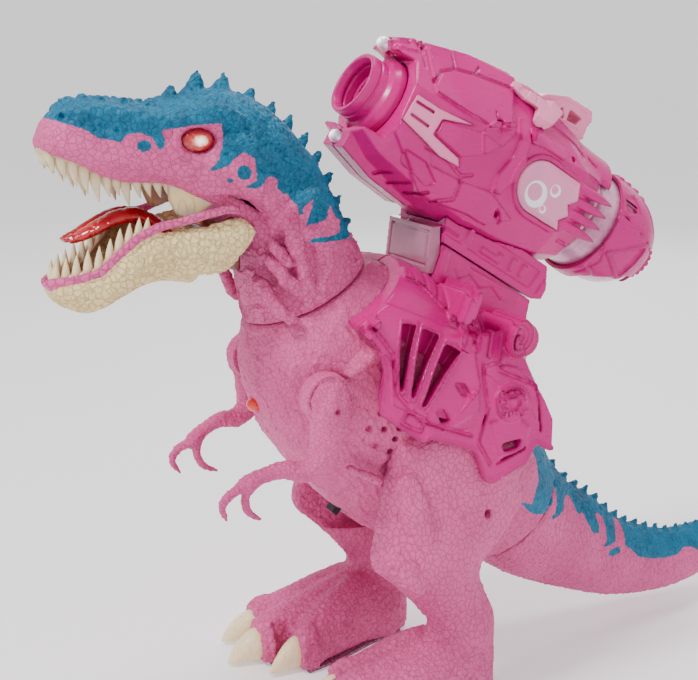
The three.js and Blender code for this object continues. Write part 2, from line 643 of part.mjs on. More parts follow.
// ---------------------------------------------------------------- cannon body
// Half sections [y along the bore, then x and z of the roof, shoulder, flank, skirt and keel].
const cannonStations = [
  [-1, [8, 30], [27, 17], [CANNON_SIDE - 2, -8], [22, -22], [10, -25]],
  [14, [9, 36], [31, 11], [CANNON_SIDE, -12], [24, -28], [11, -32]],
  [45, [10, 45], [CANNON_SIDE, 12], [CANNON_SIDE, -15], [27, -33], [13, -38]],
  [75, [11, 50], [CANNON_SIDE, 17], [CANNON_SIDE, -15], [29, -34], [16, -40]],
  [100, [12, 50], [CANNON_SIDE, 22], [CANNON_SIDE, -13], [28, -32], [17, -36]],
  [130, [12, 44], [32, 26], [CANNON_SIDE - 1, -10], [26, -26], [15, -31]],
  [146, [12, 41], [28, 27], [30, -8], [22, -20], [12, -25]],
];

// Skins the half sections and their mirror images, shrunk by inset on every side.
function skinned(stations, inset = 0) {
  const corners = (stations[0].length - 1) * 2;
  const geometry = new THREE.CylinderGeometry(1, 1, 1, corners, stations.length - 1);
  const at = geometry.attributes.position;
  for (let i = 0; i < at.count; i += 1) {
    const ring = Math.round((0.5 - at.getY(i)) * (stations.length - 1));
    const [y, ...points] = stations[ring];
    const middle = (points[0][1] + points[points.length - 1][1]) / 2;
    const turn = Math.atan2(at.getX(i), at.getZ(i));
    const k = Math.round((turn < 0 ? turn + 2 * Math.PI : turn) / (2 * Math.PI / corners)) % corners;
    const mirror = k >= corners / 2;
    const [x, z] = points[mirror ? corners - 1 - k : k];
    const onRim = Math.hypot(at.getX(i), at.getZ(i)) > 0.5;
    const depth = z - Math.sign(z - middle) * inset;
    at.setXYZ(i, onRim ? (mirror ? -1 : 1) * (x - inset) : 0, y, onRim ? depth : middle);
  }
  return solid(geometry);
}

const arc = (cy, cz, r, from, to, steps) => Array.from({ length: steps + 1 }, (_, i) => {
  const a = radians(from + (to - from) * i / steps);
  return [cy + r * Math.cos(a), cz + r * Math.sin(a)];
});
const PRONG_HALF = 12;
const PRONG = [[0, -24], [0, -33.5], [23, -39.6], [49.5, -41.5], [60, -37], [40, -30]];
const INSERT = [[11.7, -9.2], [12.4, 6.6], [27.7, 7], [53.6, 11], [32, 3.5], [31.5, -6], [52, -8.5],
  [55, -12.7], [41, -14]];
const BADGE = [...arc(105, 3, 15, 90, 270, 8), [129, -11], [126, -6], [131, -1], [127, 4], [132, 9],
  [128, 18]];
const cannonOuter = join(
  skinned(cannonStations),
  plate(PRONG, -PRONG_HALF, PRONG_HALF),
  rod(26, 26, [0, 143, 20], 'x', 16).intersect(box([48, 40, 60], [0, 143, 30])),
);
const cannonInner = skinned(cannonStations.map((row, i) => [[6, 14, 45, 75, 100, 130, 150][i],
  ...row.slice(1)]), WALL);
const tankRoom = rod(29.2, 60, [0, 138 + 30, TANK_AXIS], 'y', 20);
const pocket = (outline) => bothSides(plate(outline, CANNON_SIDE - 1.4, 60));
const FINGERS = [15.5, 8, 0.5, -7];
const clawFingers = bothSides(join(...FINGERS.map((z) => loft([
  [31, 120, z, 1.6, 0, 0, 0, 0, 2.6],
  [32, 134, z + 1, 2.2, 0, 0, 0, 0, 2.8],
  [31.8, 148, z + 2, 1.8, 0, 0, 0, 0, 2.2],
  [31, 157, z + 3, 0.6, 0, 0, 0, 0, 0.6],
], 5, 3))));
const cannonShell = cut(
  join(cut(cannonOuter, cannonInner), clawFingers),
  rod(COLLAR_RADIUS + GAP, 44, [0, 6, 0], 'y', 24),
  box([90, 42, 44], [0, -10, 2]),
  tankRoom, pocket(INSERT), pocket(BADGE),
  rod(3.9, 12, [0, -2, 26.5], 'y', 12), rod(3.9, 12, [0, 0, -28.5], 'y', 12),
);
addHalves('cannon', cannonShell, 'magenta', cannon);
addPair('side_insert', plate(INSERT, CANNON_SIDE - 1.1, CANNON_SIDE + 0.3), 'pale', cannon);
addPair('badge', plate(BADGE, CANNON_SIDE - 1.1, CANNON_SIDE + 1), 'pale', cannon);
add('lamp_upper', rod(3.5, 6, [0, -1.5, 26.5], 'y', 12), 'clear', cannon);
add('lamp_lower', rod(3.5, 6, [0, 0, -28.5], 'y', 12), 'clear', cannon);

// ---------------------------------------------------------------- barrel, fan, pump and tank
add('barrel', turned([[BORE_RADIUS, -7], [17, -7], [BARREL_RADIUS, 4], [COLLAR_RADIUS, 8],
  [COLLAR_RADIUS, 22],
  [19, 25], [19, 38], [BORE_RADIUS, 38]], 24, 'y'), 'magenta', cannon);
add('bubble_ring', turned([[9, 3], [BORE_RADIUS - GAP, 3], [BORE_RADIUS - GAP, 9], [9, 9]], 24, 'y'),
  'magenta', cannon);
const FAN_PLACE = [0, 46, 0];
const blade = (turn) => {
  const geometry = new THREE.BoxGeometry(3.6, 5, 9);
  geometry.rotateZ(radians(30));
  geometry.translate(0, 0, 7);
  geometry.rotateY(radians(turn));
  geometry.translate(...FAN_PLACE);
  return solid(geometry);
};
const fan = cut(join(rod(4, 7, FAN_PLACE, 'y', 10), ...[0, 72, 144, 216, 288].map(blade)), rod(1.3,
  20, [0, 56, 0], 'y', 8));
add('fan', fan, 'black', cannon);
add('fan_motor', join(rod(10, 24, [0, 64, 0], 'y', 20), rod(1, 40, [0, 68, 0], 'y', 8)), 'steel',
  cannon);
add('pump', join(box([30, 14, 26], [0, 97, 0]), rod(9, 18, [0, 97, 2], 'y', 14)), 'black', cannon);
const hosePath = new THREE.CatmullRomCurve3([
  [0, 89, -9.5], [0, 84, -11.5], [0, 76, -20], [0, 64, -25], [0, 50, -25], [0, 41, -22.5], [0, 36,
    -21.6], [0, 31, -21.6],
].map((point) => new THREE.Vector3(...point)));
const hoseRing = new THREE.Shape();
hoseRing.absarc(0, 0, 2.2, 0, Math.PI * 2);
add('feed_hose', solid(new THREE.ExtrudeGeometry(hoseRing,
  { steps: 14, extrudePath: hosePath, curveSegments: 2, bevelEnabled: false })), 'clear', cannon);

const tankStations = [
  [138.5, 20], [141, 26.5], [155, 28.5], [175, 29.5], [192, 27.5], [205, 20], [211, 12],
].map(([y, r]) => [0, y, TANK_AXIS, r, 0, 0, 0, 0, r]);
const shrunk = (stations, by) => stations.map((row) => row.map((value,
  i) => (i === 3 || i === 8 ? value - by : value)));
const tankInner = loft(shrunk(tankStations.slice(1, 6), 2), 14, 5);
const fillHole = rod(9.3, 40, [0, 210, TANK_AXIS], 'y', 14);
const tank = cut(loft(tankStations, 16, 6), tankInner, fillHole);
add('solution_tank', tank, 'clear', cannon);
add('tank_cap', join(rod(8.9, 10, [0, 207, TANK_AXIS], 'y', 14), rod(13.5, 4.5, [0, 213.6, TANK_AXIS],
  'y', 16)), 'magenta', cannon);
const guard = cut(
  loft(shrunk(tankStations.slice(0, 6), -3), 16, 5).intersect(box([80, 38, 90], [0, 184, TANK_AXIS])),
  loft(shrunk(tankStations, -0.6), 16, 6),
  box([90, 30, 30], [0, 196, -26], 30),
);
add('tank_guard', guard, 'magenta', cannon);
const SIGHT = [
  [71, 41], [74, 50.5], [84, 52.5], [95.7, 53], [98.5, 56], [112, 62.2],
  [131, 63.6], [134, 58.2], [133, 54.5], [134, 46.8], [124, 40], [80, 40],
];
const sightHoles = [
  [[109.5, 50], [111.5, 55], [116, 50]],
  [[117, 56.5], [127, 56], [125.5, 51.5], [118, 50.5]],
  arc(93, 49.5, 1.4, 0, 315, 7),
];
const sightLegs = bothSides(plate([[100, 54], [90, 34], [95, 32], [110, 52]], 10, 26));
const roofCover = cut(skinned(cannonStations, -3.2), skinned(cannonStations, -GAP));
const sight = cut(join(cut(plate(SIGHT, -8, 8), ...sightHoles.map((outline) => plate(outline, -20,
  20))),
  sightLegs.intersect(roofCover), roofCover.intersect(box([24, 12, 40], [0, 104, 50]))),
    skinned(cannonStations, -GAP),
rod(26.3, 26, [0, 143, 20], 'x', 20));
add('sight', sight, 'pale', cannon);

// ---------------------------------------------------------------- cradle and post
const CRADLE = [
  [62, -31], [67, -39], [72.5, CRADLE_BOTTOM], [141.7, CRADLE_BOTTOM],
  [148, -46.5], [147.6, -39.9], [141, -29], [100, -28],
];
const cannonHull = join(skinned(cannonStations, -GAP), plate(shiftLine(PRONG, -GAP),
  -PRONG_HALF - GAP, PRONG_HALF + GAP));
const cannonRear = rod(29.9, 80, [0, 175, TANK_AXIS], 'y', 20);
const saddleTop = join(saddleOuter, loft(spine(torsoStations, 8.9, 12.9), 16, 10));
add('cradle', cut(plate(CRADLE, -26, 26), cannonHull, cannonRear, fromCannon(saddleTop, true)),
  'magenta', cannon);
const POST = [[34, 229], [43, 253], [43.4, 258.6], [100.6, 222.7], [96, 200], [20, 200], [22, 229]];
const POST_WINDOW = [[34.8, 243], [38.8, 243], [42.6, 253.4], [42.9, 259], [43, 268], [38, 268]];
add('post', cut(plate(POST, -27, 27), saddleTop), 'magenta');
add('post_window', cut(plate(POST_WINDOW, -24, 24), saddleTop), 'pale');

toy.position.y = FRAME_SHIFT;
const model = new THREE.Group();
model.add(toy);
export default model;
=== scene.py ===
"""Looks of the walking dinosaur with a bubble cannon, in millimetres until a mesh is made."""

import json
import math

import bpy
import numpy as np
import openvdb as vdb
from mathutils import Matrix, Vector, noise
from mathutils.geometry import tessellate_polygon


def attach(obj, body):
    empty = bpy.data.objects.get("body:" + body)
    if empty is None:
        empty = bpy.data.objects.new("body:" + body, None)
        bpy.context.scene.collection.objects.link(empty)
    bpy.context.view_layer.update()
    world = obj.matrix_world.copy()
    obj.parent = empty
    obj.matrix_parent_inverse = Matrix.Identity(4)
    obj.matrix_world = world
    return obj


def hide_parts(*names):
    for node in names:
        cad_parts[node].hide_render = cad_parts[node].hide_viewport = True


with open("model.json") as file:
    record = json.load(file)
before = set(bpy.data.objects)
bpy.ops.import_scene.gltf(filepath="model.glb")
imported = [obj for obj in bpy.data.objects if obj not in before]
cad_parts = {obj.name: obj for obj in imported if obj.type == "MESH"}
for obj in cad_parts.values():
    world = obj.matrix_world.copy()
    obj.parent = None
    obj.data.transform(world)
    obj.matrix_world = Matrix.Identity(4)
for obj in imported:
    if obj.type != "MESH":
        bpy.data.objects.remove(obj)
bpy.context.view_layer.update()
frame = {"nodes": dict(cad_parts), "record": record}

SHIFT = np.array([0.0, -89.5, 0.0])      # from the toy's own frame to the row's frame
BAND = 5                                 # half width of a level set, in voxels
NECK = np.array([0.0, -27.5, 237.0])
NECK_TILT = math.radians(27)
JAW_PIVOT = np.array([0.0, -82.0, 271.0])
EYE = np.array([30.0, -96.0, 320.0])
SHOULDER = np.array([52.0, -38.0, 190.0])
HIP = np.array([0.0, 38.0, 126.0])
CANNON = np.array([0.0, 8.0, 340.0])
PITCH = math.radians(32)


# ------------------------------------------------------------------ meshes as (points, triangles, quads)
def hermite(rows, t):
    rows = np.asarray(rows, float)
    last = len(rows) - 1
    place = np.minimum(np.asarray(t) * last, last - 1e-9)
    i = np.floor(place).astype(int)
    f = (place - i)[:, None]
    a, b, d, e = (rows[np.clip(i + k, 0, last)] for k in (-1, 0, 1, 2))
    m0, m1 = (d - a) / 2, (e - b) / 2
    return (2 * f**3 - 3 * f**2 + 1) * b + (f**3 - 2 * f**2 + f) * m0 + (3 * f**2 - 2 * f**3) * d + (f**3
            - f**2) * m1


def skin_rings(rings):
    """Closed mesh from an array of rings, shaped (rings, points in a ring, 3)."""
    count, around = rings.shape[:2]
    points = np.concatenate([rings.reshape(-1, 3), rings[0].mean(0)[None], rings[-1].mean(0)[None]])
    k = np.arange(around)
    n = (k + 1) % around
    quads = np.concatenate([np.stack([r * around + k, r * around + n, (r + 1) * around + n,
                                      (r + 1) * around + k], 1)
                            for r in range(count - 1)])
    top = (count - 1) * around
    triangles = np.concatenate([np.stack([n, k, np.full(around, count * around)], 1),
                                np.stack([top + k, top + n, np.full(around, count * around + 1)], 1)])
    return points, triangles, quads


def loft(stations, around=56, along=70, square=1.0):
    s = hermite(stations, np.linspace(0, 1, along + 1))[:, None, :]
    turn = np.linspace(0, 2 * math.pi, around, endpoint=False)
    p, q = (np.sign(v) * np.abs(v) ** square for v in (np.cos(turn), np.sin(turn)))
    return skin_rings(s[..., 0:3] + p[None, :, None] * s[..., 3:6] + q[None, :, None] * s[..., 6:9])


def spine(stations, grow=0.0, widen=None):
    out = []
    for row in stations:
        fy, fz, by, bz, w = row[:5]
        x = row[5] if len(row) > 5 else 0
        half = math.hypot(by - fy, bz - fz) / 2
        k = max(0.4, half + grow) / half
        out.append([x, (fy + by) / 2, (fz + bz) / 2, max(0.4, w + (grow if widen is None else widen)), 0, 0,
                    0, (by - fy) / 2 * k, (bz - fz) / 2 * k])
    return out


def limb(stations):
    out = []
    for row in stations:
        x, y, z, w, d = row[:5]
        a = math.radians(row[5] if len(row) > 5 else 0)
        out.append([x, y, z, w, 0, 0, 0, d * math.cos(a), d * math.sin(a)])
    return out


def tube(path, radii, around=14, steps=5):
    """Round rod along a smooth path, with one radius for each point of it."""
    rows = hermite([list(p) + [r] for p, r in zip(path, radii)],
                   np.linspace(0, 1, (len(path) - 1) * steps + 1))
    along = np.gradient(rows[:, :3], axis=0)
    along /= np.linalg.norm(along, axis=1)[:, None]
    side = np.cross(along, [0.31, 0.17, 0.93])
    side /= np.linalg.norm(side, axis=1)[:, None]
    up = np.cross(side, along)
    turn = np.linspace(0, 2 * math.pi, around, endpoint=False)
    ring = np.cos(turn)[None, :, None] * side[:, None] + np.sin(turn)[None, :, None] * up[:, None]
    return skin_rings(rows[:, None, :3] + ring * np.maximum(rows[:, None, 3:4], 0.15))


def ball(centre, radii, around=24, along=16):
    lat = np.linspace(0.02, math.pi - 0.02, along)
    turn = np.linspace(0, 2 * math.pi, around, endpoint=False)
    ring = np.stack([np.sin(lat)[:, None] * np.cos(turn), np.sin(lat)[:, None] * np.sin(turn),
                     np.repeat(np.cos(lat)[:, None], around, 1)], -1)
    return skin_rings(ring * np.array(radii) + np.array(centre))


def slab(outline, x0, x1):
    """An outline of (y, z) points, extruded along X."""
    flat = np.array(outline, float)
    n = len(flat)
    points = np.concatenate([np.column_stack([np.full(n, x), flat]) for x in (x0, x1)])
    cap = np.array(tessellate_polygon([[Vector((y, z, 0)) for y, z in flat]]))
    k = np.arange(n)
    quads = np.stack([k, (k + 1) % n, (k + 1) % n + n, k + n], 1)
    return points, np.concatenate([cap, cap[:, ::-1] + n]), quads


def together(*meshes):
    points, triangles, quads, base = [], [], [], 0
    for p, t, q in meshes:
        points.append(p)
        triangles.append(np.asarray(t).reshape(-1, 3) + base)
        quads.append(np.asarray(q).reshape(-1, 4) + base)
        base += len(p)
    return np.concatenate(points), np.concatenate(triangles), np.concatenate(quads)


def flipped(mesh):
    return mesh[0] * [-1, 1, 1], mesh[1][:, ::-1], mesh[2][:, ::-1]


def both(mesh):
    return together(mesh, flipped(mesh))


def turned_x(points, centre, degrees):
    a = math.radians(degrees)
    c, s = math.cos(a), math.sin(a)
    p = points - centre
    return np.column_stack([p[:, 0], c * p[:, 1] - s * p[:, 2], s * p[:, 1] + c * p[:, 2]]) + centre


def from_cannon(points):
    """Carries (x, u, v) of the cannon's own frame into the toy's frame."""
    c, s = math.cos(PITCH), math.sin(PITCH)
    x, u, v = np.asarray(points, float).T
    return np.column_stack([x, u * c + v * s, -u * s + v * c]) + CANNON


# ------------------------------------------------------------------ clay: solids on a voxel grid
class Clay:
    def __init__(self, low, high, voxel):
        self.low, self.voxel = np.array(low, float), voxel
        self.shape = tuple(int(n) for n in np.ceil((np.array(high) - self.low) / voxel) + 1)
        self.far = BAND * voxel
        self.field = np.full(self.shape, self.far, np.float32)
        axes = [self.low[i] + voxel * np.arange(self.shape[i]) for i in range(3)]
        self.x, self.y, self.z = np.meshgrid(*axes, indexing="ij", sparse=True)

    def level(self, mesh):
        points, triangles, quads = mesh
        grid = vdb.FloatGrid.createLevelSetFromPolygons(
            points=(points - self.low).astype(np.float32), triangles=np.asarray(triangles, np.uint32),
            quads=np.asarray(quads, np.uint32), transform=vdb.createLinearTransform(voxelSize=self.voxel),
            halfWidth=float(BAND))
        out = np.empty(self.shape, np.float32)
        grid.copyToArray(out)
        return out

    def _field(self, thing):
        return self.level(thing) if isinstance(thing, tuple) else np.clip(thing, -self.far, self.far)

    def add(self, thing, blend=0.0):
        a, b = self.field, self._field(thing)
        h = np.maximum(blend - np.abs(a - b), 0) / max(blend, 1e-6)
        self.field = (np.minimum(a, b) - h * h * blend / 4).astype(np.float32)
        return self

    def cut(self, thing, blend=0.0):
        a, b = self.field, -self._field(thing)
        h = np.maximum(blend - np.abs(a - b), 0) / max(blend, 1e-6)
        self.field = (np.maximum(a, b) + h * h * blend / 4).astype(np.float32)
        return self

    def keep(self, thing, blend=0.0):
        return self.cut(-self._field(thing), blend)

    def soften(self, times):
        for _ in range(times):
            for axis in range(3):
                a = np.moveaxis(self.field, axis, 0)
                a[1:-1] = (a[:-2] + 2 * a[1:-1] + a[2:]) / 4
        return self

    def mesh(self):
        edge = self.field
        for axis in range(3):
            a = np.moveaxis(edge, axis, 0)
            a[0] = a[-1] = self.far
        grid = vdb.FloatGrid(float(self.far))
        grid.copyFromArray(edge)
        grid.transform = vdb.createLinearTransform(voxelSize=self.voxel)
        points, triangles, quads = grid.convertToPolygons(isovalue=0.0, adaptivity=0.0)
        return points.astype(float) + self.low, triangles[:, ::-1], quads[:, ::-1]

    def plane(self, point, normal):
        n = np.array(normal, float)
        n /= np.linalg.norm(n)
        return n[0] * (self.x - point[0]) + n[1] * (self.y - point[1]) + n[2] * (self.z - point[2])

    def rod_x(self, centre, radius, x0, x1):
        around = np.hypot(self.y - centre[1], self.z - centre[2]) - radius
        return meet(around, x0 - self.x, self.x - x1)


def meet(*fields):
    """What lies inside every one of the fields."""
    common = fields[0]
    for field in fields[1:]:
        common = np.maximum(common, field)
    return common


def above_neck(gap):
    normal = (0, -math.sin(NECK_TILT), math.cos(NECK_TILT))
    return NECK + gap * np.array(normal), normal


# ------------------------------------------------------------------ objects
def make(name, mesh, body, replaced=(), attributes=None, material=None):
    """Rides a body, stands for the replaced CAD nodes and carries paint masks as attributes."""
    points, triangles, quads = mesh
    data = bpy.data.meshes.new(name)
    triangles, quads = np.asarray(triangles).reshape(-1, 3), np.asarray(quads).reshape(-1, 4)
    corners = np.concatenate([triangles.ravel(), quads.ravel()]).astype(np.int32)
    totals = np.concatenate([np.full(len(triangles), 3), np.full(len(quads), 4)])
    starts = np.concatenate([[0], np.cumsum(totals)[:-1]]).astype(np.int32)
    data.vertices.add(len(points))
    data.vertices.foreach_set("co", ((np.asarray(points) + SHIFT) / 1000).astype(np.float32).ravel())
    data.loops.add(len(corners))
    data.loops.foreach_set("vertex_index", corners)
    data.polygons.add(len(totals))
    data.polygons.foreach_set("loop_start", starts)
    data.polygons.foreach_set("use_smooth", np.full(len(totals), True))
    data.update(calc_edges=True)
    data.validate()
    for key, values in (attributes or {}).items():
        layer = data.attributes.new(key, "FLOAT", "POINT")
        layer.data.foreach_set("value", np.asarray(values, np.float32))
    obj = bpy.data.objects.new(name, data)
    bpy.context.scene.collection.objects.link(obj)
    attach(obj, body)
    if replaced:
        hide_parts(*replaced)
    if material:
        data.materials.append(material)
    return obj


def normals_of(mesh):
    points, triangles, quads = mesh
    out = np.zeros_like(points)
    for faces in (np.asarray(triangles), np.asarray(quads)):
        if len(faces):
            n = np.cross(points[faces[:, 1]] - points[faces[:, 0]],
                         points[faces[:, -1]] - points[faces[:, 0]])
            for k in range(faces.shape[1]):
                np.add.at(out, faces[:, k], n)
    return out / np.maximum(np.linalg.norm(out, axis=1), 1e-9)[:, None]


def pressed(mesh, relief):
    """Moves the mesh's points along their normals by relief, in millimetres."""
    return mesh[0] + normals_of(mesh) * relief[:, None], mesh[1], mesh[2]


# ------------------------------------------------------------------ patterns
def step(low, high, value):
    t = np.clip((value - low) / (high - low), 0, 1)
    return t * t * (3 - 2 * t)


def clouds(points, size, stretch=(1, 1, 1), octaves=2):
    at = points / (np.array(stretch, float) * size)
    return np.array([noise.fractal(p, 1.0, 2.0, octaves) for p in at])


def creases(points, size, stretch=(1, 1, 1), width=0.12):
    """0 on smooth skin, 1 along thin wandering creases."""
    at = points / (np.array(stretch, float) * size)
    return np.array([1 - min(1.0, abs(noise.noise(p)) / width) for p in at])


def pebbles(points, size, stretch=(1, 1, 1)):
    """0 in the grooves between scales, 1 on their middles."""
    at = points / (np.array(stretch, float) * size)
    out = np.empty(len(at))
    for i, p in enumerate(at):
        d = noise.voronoi(p)[0]
        out[i] = d[1] - d[0]
    return step(0.0, 0.45, out)


def line_distance(y, z, line):
    """Distance from points (y, z) to a polyline."""
    best = np.full(np.shape(y), 1e9)
    for (y0, z0), (y1, z1) in zip(line[:-1], line[1:]):
        dy, dz = y1 - y0, z1 - z0
        t = np.clip(((y - y0) * dy + (z - z0) * dz) / max(dy * dy + dz * dz, 1e-9), 0, 1)
        best = np.minimum(best, np.hypot(y - y0 - t * dy, z - z0 - t * dz))
    return best


def inside(y, z, outline):
    """Signed distance to an outline, positive inside it."""
    closed = list(outline) + [outline[0]]
    crossings = np.zeros(np.shape(y), bool)
    for (y0, z0), (y1, z1) in zip(closed[:-1], closed[1:]):
        if z0 == z1:
            continue
        hit = ((z0 > z) != (z1 > z)) & (y < (y1 - y0) * (z - z0) / (z1 - z0) + y0)
        crossings ^= hit
    return np.where(crossings, 1, -1) * line_distance(y, z, closed)


def ring_line(centre, radius, start, end, steps=18):
    turn = np.radians(np.linspace(start, end, steps + 1))
    return [(centre[0] + radius * math.cos(a), centre[1] + radius * math.sin(a)) for a in turn]


# ------------------------------------------------------------------ node materials
class Shader:
    def __init__(self, name, roughness=0.5, coat=0.0, metallic=0.0, transmission=0.0, subsurface=0.0):
        self.material = bpy.data.materials.new(name)
        self.material.use_nodes = True
        self.tree = self.material.node_tree
        self.bsdf = self.tree.nodes["Principled BSDF"]
        self.bsdf.inputs["Roughness"].default_value = roughness
        self.bsdf.inputs["Metallic"].default_value = metallic
        self.bsdf.inputs["Coat Weight"].default_value = coat
        self.bsdf.inputs["Coat Roughness"].default_value = 0.08
        self.bsdf.inputs["Specular IOR Level"].default_value = 0.28
        self.bsdf.inputs["Transmission Weight"].default_value = transmission
        self.bsdf.inputs["Subsurface Weight"].default_value = subsurface
        self.bsdf.inputs["Subsurface Scale"].default_value = 0.004
        self.where = self.node("ShaderNodeTexCoord").outputs["Object"]

    def node(self, kind, **settings):
        made = self.tree.nodes.new(kind)
        for key, value in settings.items():
            setattr(made, key, value)
        return made

    def wire(self, source, target):
        if isinstance(source, (int, float)):
            target.default_value = source
        elif isinstance(source, tuple):
            target.default_value = (*source, 1.0)[:len(target.default_value)]
        else:
            self.tree.links.new(source, target)

    def math(self, operation, a, b=0.0, clamp=False):
        made = self.node("ShaderNodeMath", operation=operation, use_clamp=clamp)
        self.wire(a, made.inputs[0])
        self.wire(b, made.inputs[1])
        return made.outputs[0]

    def attribute(self, name):
        return self.node("ShaderNodeAttribute", attribute_name=name).outputs["Fac"]

    def stretched(self, scale):
        made = self.node("ShaderNodeMapping")
        made.inputs["Scale"].default_value = scale
        self.wire(self.where, made.inputs["Vector"])
        return made.outputs[0]

    def noise(self, size_mm, detail=3.0, stretch=(1, 1, 1), roughness=0.5):
        made = self.node("ShaderNodeTexNoise")
        self.wire(self.stretched(stretch), made.inputs["Vector"])
        made.inputs["Scale"].default_value = 1000 / size_mm
        made.inputs["Detail"].default_value = detail
        made.inputs["Roughness"].default_value = roughness
        return made.outputs["Fac"]

    def cells(self, size_mm, stretch=(1, 1, 1), edge=True):
        made = self.node("ShaderNodeTexVoronoi", feature="DISTANCE_TO_EDGE" if edge else "F1")
        self.wire(self.stretched(stretch), made.inputs["Vector"])
        made.inputs["Scale"].default_value = 1000 / size_mm
        return made.outputs["Distance"]

    def ramp(self, value, *stops, kind="LINEAR"):
        made = self.node("ShaderNodeValToRGB")
        made.color_ramp.interpolation = kind
        while len(made.color_ramp.elements) < len(stops):
            made.color_ramp.elements.new(0.5)
        for element, (place, colour) in zip(made.color_ramp.elements, stops):
            element.position = place
            element.color = (*colour, 1) if isinstance(colour, tuple) else (colour, colour, colour, 1)
        self.wire(value, made.inputs[0])
        return made.outputs[0]

    def mix(self, factor, a, b, blend="MIX"):
        made = self.node("ShaderNodeMix", data_type="RGBA", blend_type=blend)
        self.wire(factor, made.inputs[0])
        self.wire(a, made.inputs[6])
        self.wire(b, made.inputs[7])
        return made.outputs[2]

    def range(self, value, low, high, to_low=0.0, to_high=1.0):
        made = self.node("ShaderNodeMapRange", interpolation_type="SMOOTHSTEP")
        for k, v in enumerate((value, low, high, to_low, to_high)):
            self.wire(v, made.inputs[k])
        return made.outputs[0]

    def cavity(self, low=0.44, high=0.56):
        return self.range(self.node("ShaderNodeNewGeometry").outputs["Pointiness"], low, high)

    def colour(self, value):
        self.wire(value, self.bsdf.inputs["Base Color"])

    def roughness(self, value):
        self.wire(value, self.bsdf.inputs["Roughness"])

    def bump(self, height, depth_mm, strength=1.0):
        made = self.node("ShaderNodeBump")
        made.inputs["Distance"].default_value = depth_mm / 1000
        made.inputs["Strength"].default_value = strength
        self.wire(height, made.inputs["Height"])
        self.wire(made.outputs[0], self.bsdf.inputs["Normal"])


# Pink, blue and cream each have a darker partner: the painted shade colour for grooves and hollows.
PINK = (0.70, 0.105, 0.30)
PINK_SHADE = (0.25, 0.02, 0.085)
BLUE = (0.001, 0.16, 0.29)
BLUE_SHADE = (0.001, 0.05, 0.10)
CREAM = (0.92, 0.73, 0.36)
CREAM_SHADE = (0.38, 0.29, 0.15)
MAGENTA = (0.58, 0.0, 0.195)
PALE = (0.90, 0.24, 0.45)


def skin(name, size=3.0, stretch=(1, 1, 1), depth=0.35, groove=0.10, cream=False):
    """Moulded hide: scales, painted shade darkening the grooves between scales and the hollows, and patches
    painted from attributes.
    """
    s = Shader(name, roughness=0.48, subsurface=0.04)
    edge = s.cells(size, stretch)
    fine = s.cells(size * 0.42, stretch)
    scale = s.range(edge, 0.0, 0.16)
    grain = s.noise(0.9, 2.0)
    # Painted shade: the colour darkens towards the deep shade colour in the grooves between scales and in
    # hollows found by pointiness.
    groove_shade = s.math("MULTIPLY", s.range(edge, 0.0, groove, 0.0, 1.0), 1.0)
    hollow = s.cavity(0.40, 0.50)
    shade = s.math("MULTIPLY", s.math("ADD", s.math("MULTIPLY", groove_shade, 0.42), 0.58),
                   s.math("ADD", s.math("MULTIPLY", hollow, 0.45), 0.55))
    drift = s.noise(38, 2.0)
    if cream:
        light = s.mix(s.range(drift, 0.35, 0.7), CREAM, (0.84, 0.64, 0.30))
        base = s.mix(shade, CREAM_SHADE, light)
        lip = s.mix(shade, PINK_SHADE, PINK)
        base = s.mix(s.range(s.attribute("lip"), -0.25, 0.25), base, lip)
    else:
        light = s.mix(s.range(drift, 0.35, 0.7), PINK, (0.60, 0.08, 0.245))
        base = s.mix(shade, PINK_SHADE, light)
        sky = s.mix(s.range(s.noise(14, 2.0), 0.35, 0.7), BLUE, (0.001, 0.115, 0.22))
        blue = s.mix(shade, BLUE_SHADE, sky)
        ragged = s.math("ADD", s.attribute("blue"), s.math("MULTIPLY",
                                                           s.math("SUBTRACT", s.noise(2.2, 2.0), 0.5), 1.5))
        base = s.mix(s.range(ragged, -0.3, 0.3), base, blue)
    s.colour(base)
    s.roughness(s.range(grain, 0.2, 0.8, 0.42, 0.58))
    height = s.math("ADD", s.math("MULTIPLY", scale, 0.75), s.math("MULTIPLY", s.range(fine, 0.0, 0.25),
            0.18))
    s.bump(s.math("ADD", height, s.math("MULTIPLY", grain, 0.10)), depth, 0.9)
    return s.material


def moulded(name, base, shade_colour, roughness=0.32, coat=0.12, wave=0.06, edge_highlights=True):
    """Shiny injection-moulded plastic with faint flow waves, tiny scuffs, painted shade in hollows and
    painted highlights on sharp edges.
    """
    s = Shader(name, roughness=roughness, coat=coat, subsurface=0.02)
    drift = s.noise(55, 3.0)
    tint = s.mix(s.range(drift, 0.3, 0.7), base, tuple(0.90 * v for v in base))
    # Painted shade: hollows found by pointiness darken towards the shade colour.
    tint = s.mix(s.cavity(0.38, 0.50), shade_colour, tint)
    if edge_highlights:
        # Painted highlight: sharp convex edges are painted lighter, standing in for glints of light.
        rim = s.range(s.node("ShaderNodeNewGeometry").outputs["Pointiness"], 0.52, 0.60, 0.0, 0.5)
        tint = s.mix(rim, tint, tuple(min(1.0, v * 1.5 + 0.03) for v in base))
    s.colour(tint)
    scuff = s.noise(3.0, 4.0, (1, 0.25, 1))
    s.roughness(s.range(scuff, 0.35, 0.75, roughness - 0.05, roughness + 0.10))
    s.bump(s.math("ADD", s.noise(26, 2.0), s.math("MULTIPLY", s.noise(0.6, 1.0), 0.05)), wave, 0.7)
    return s.material


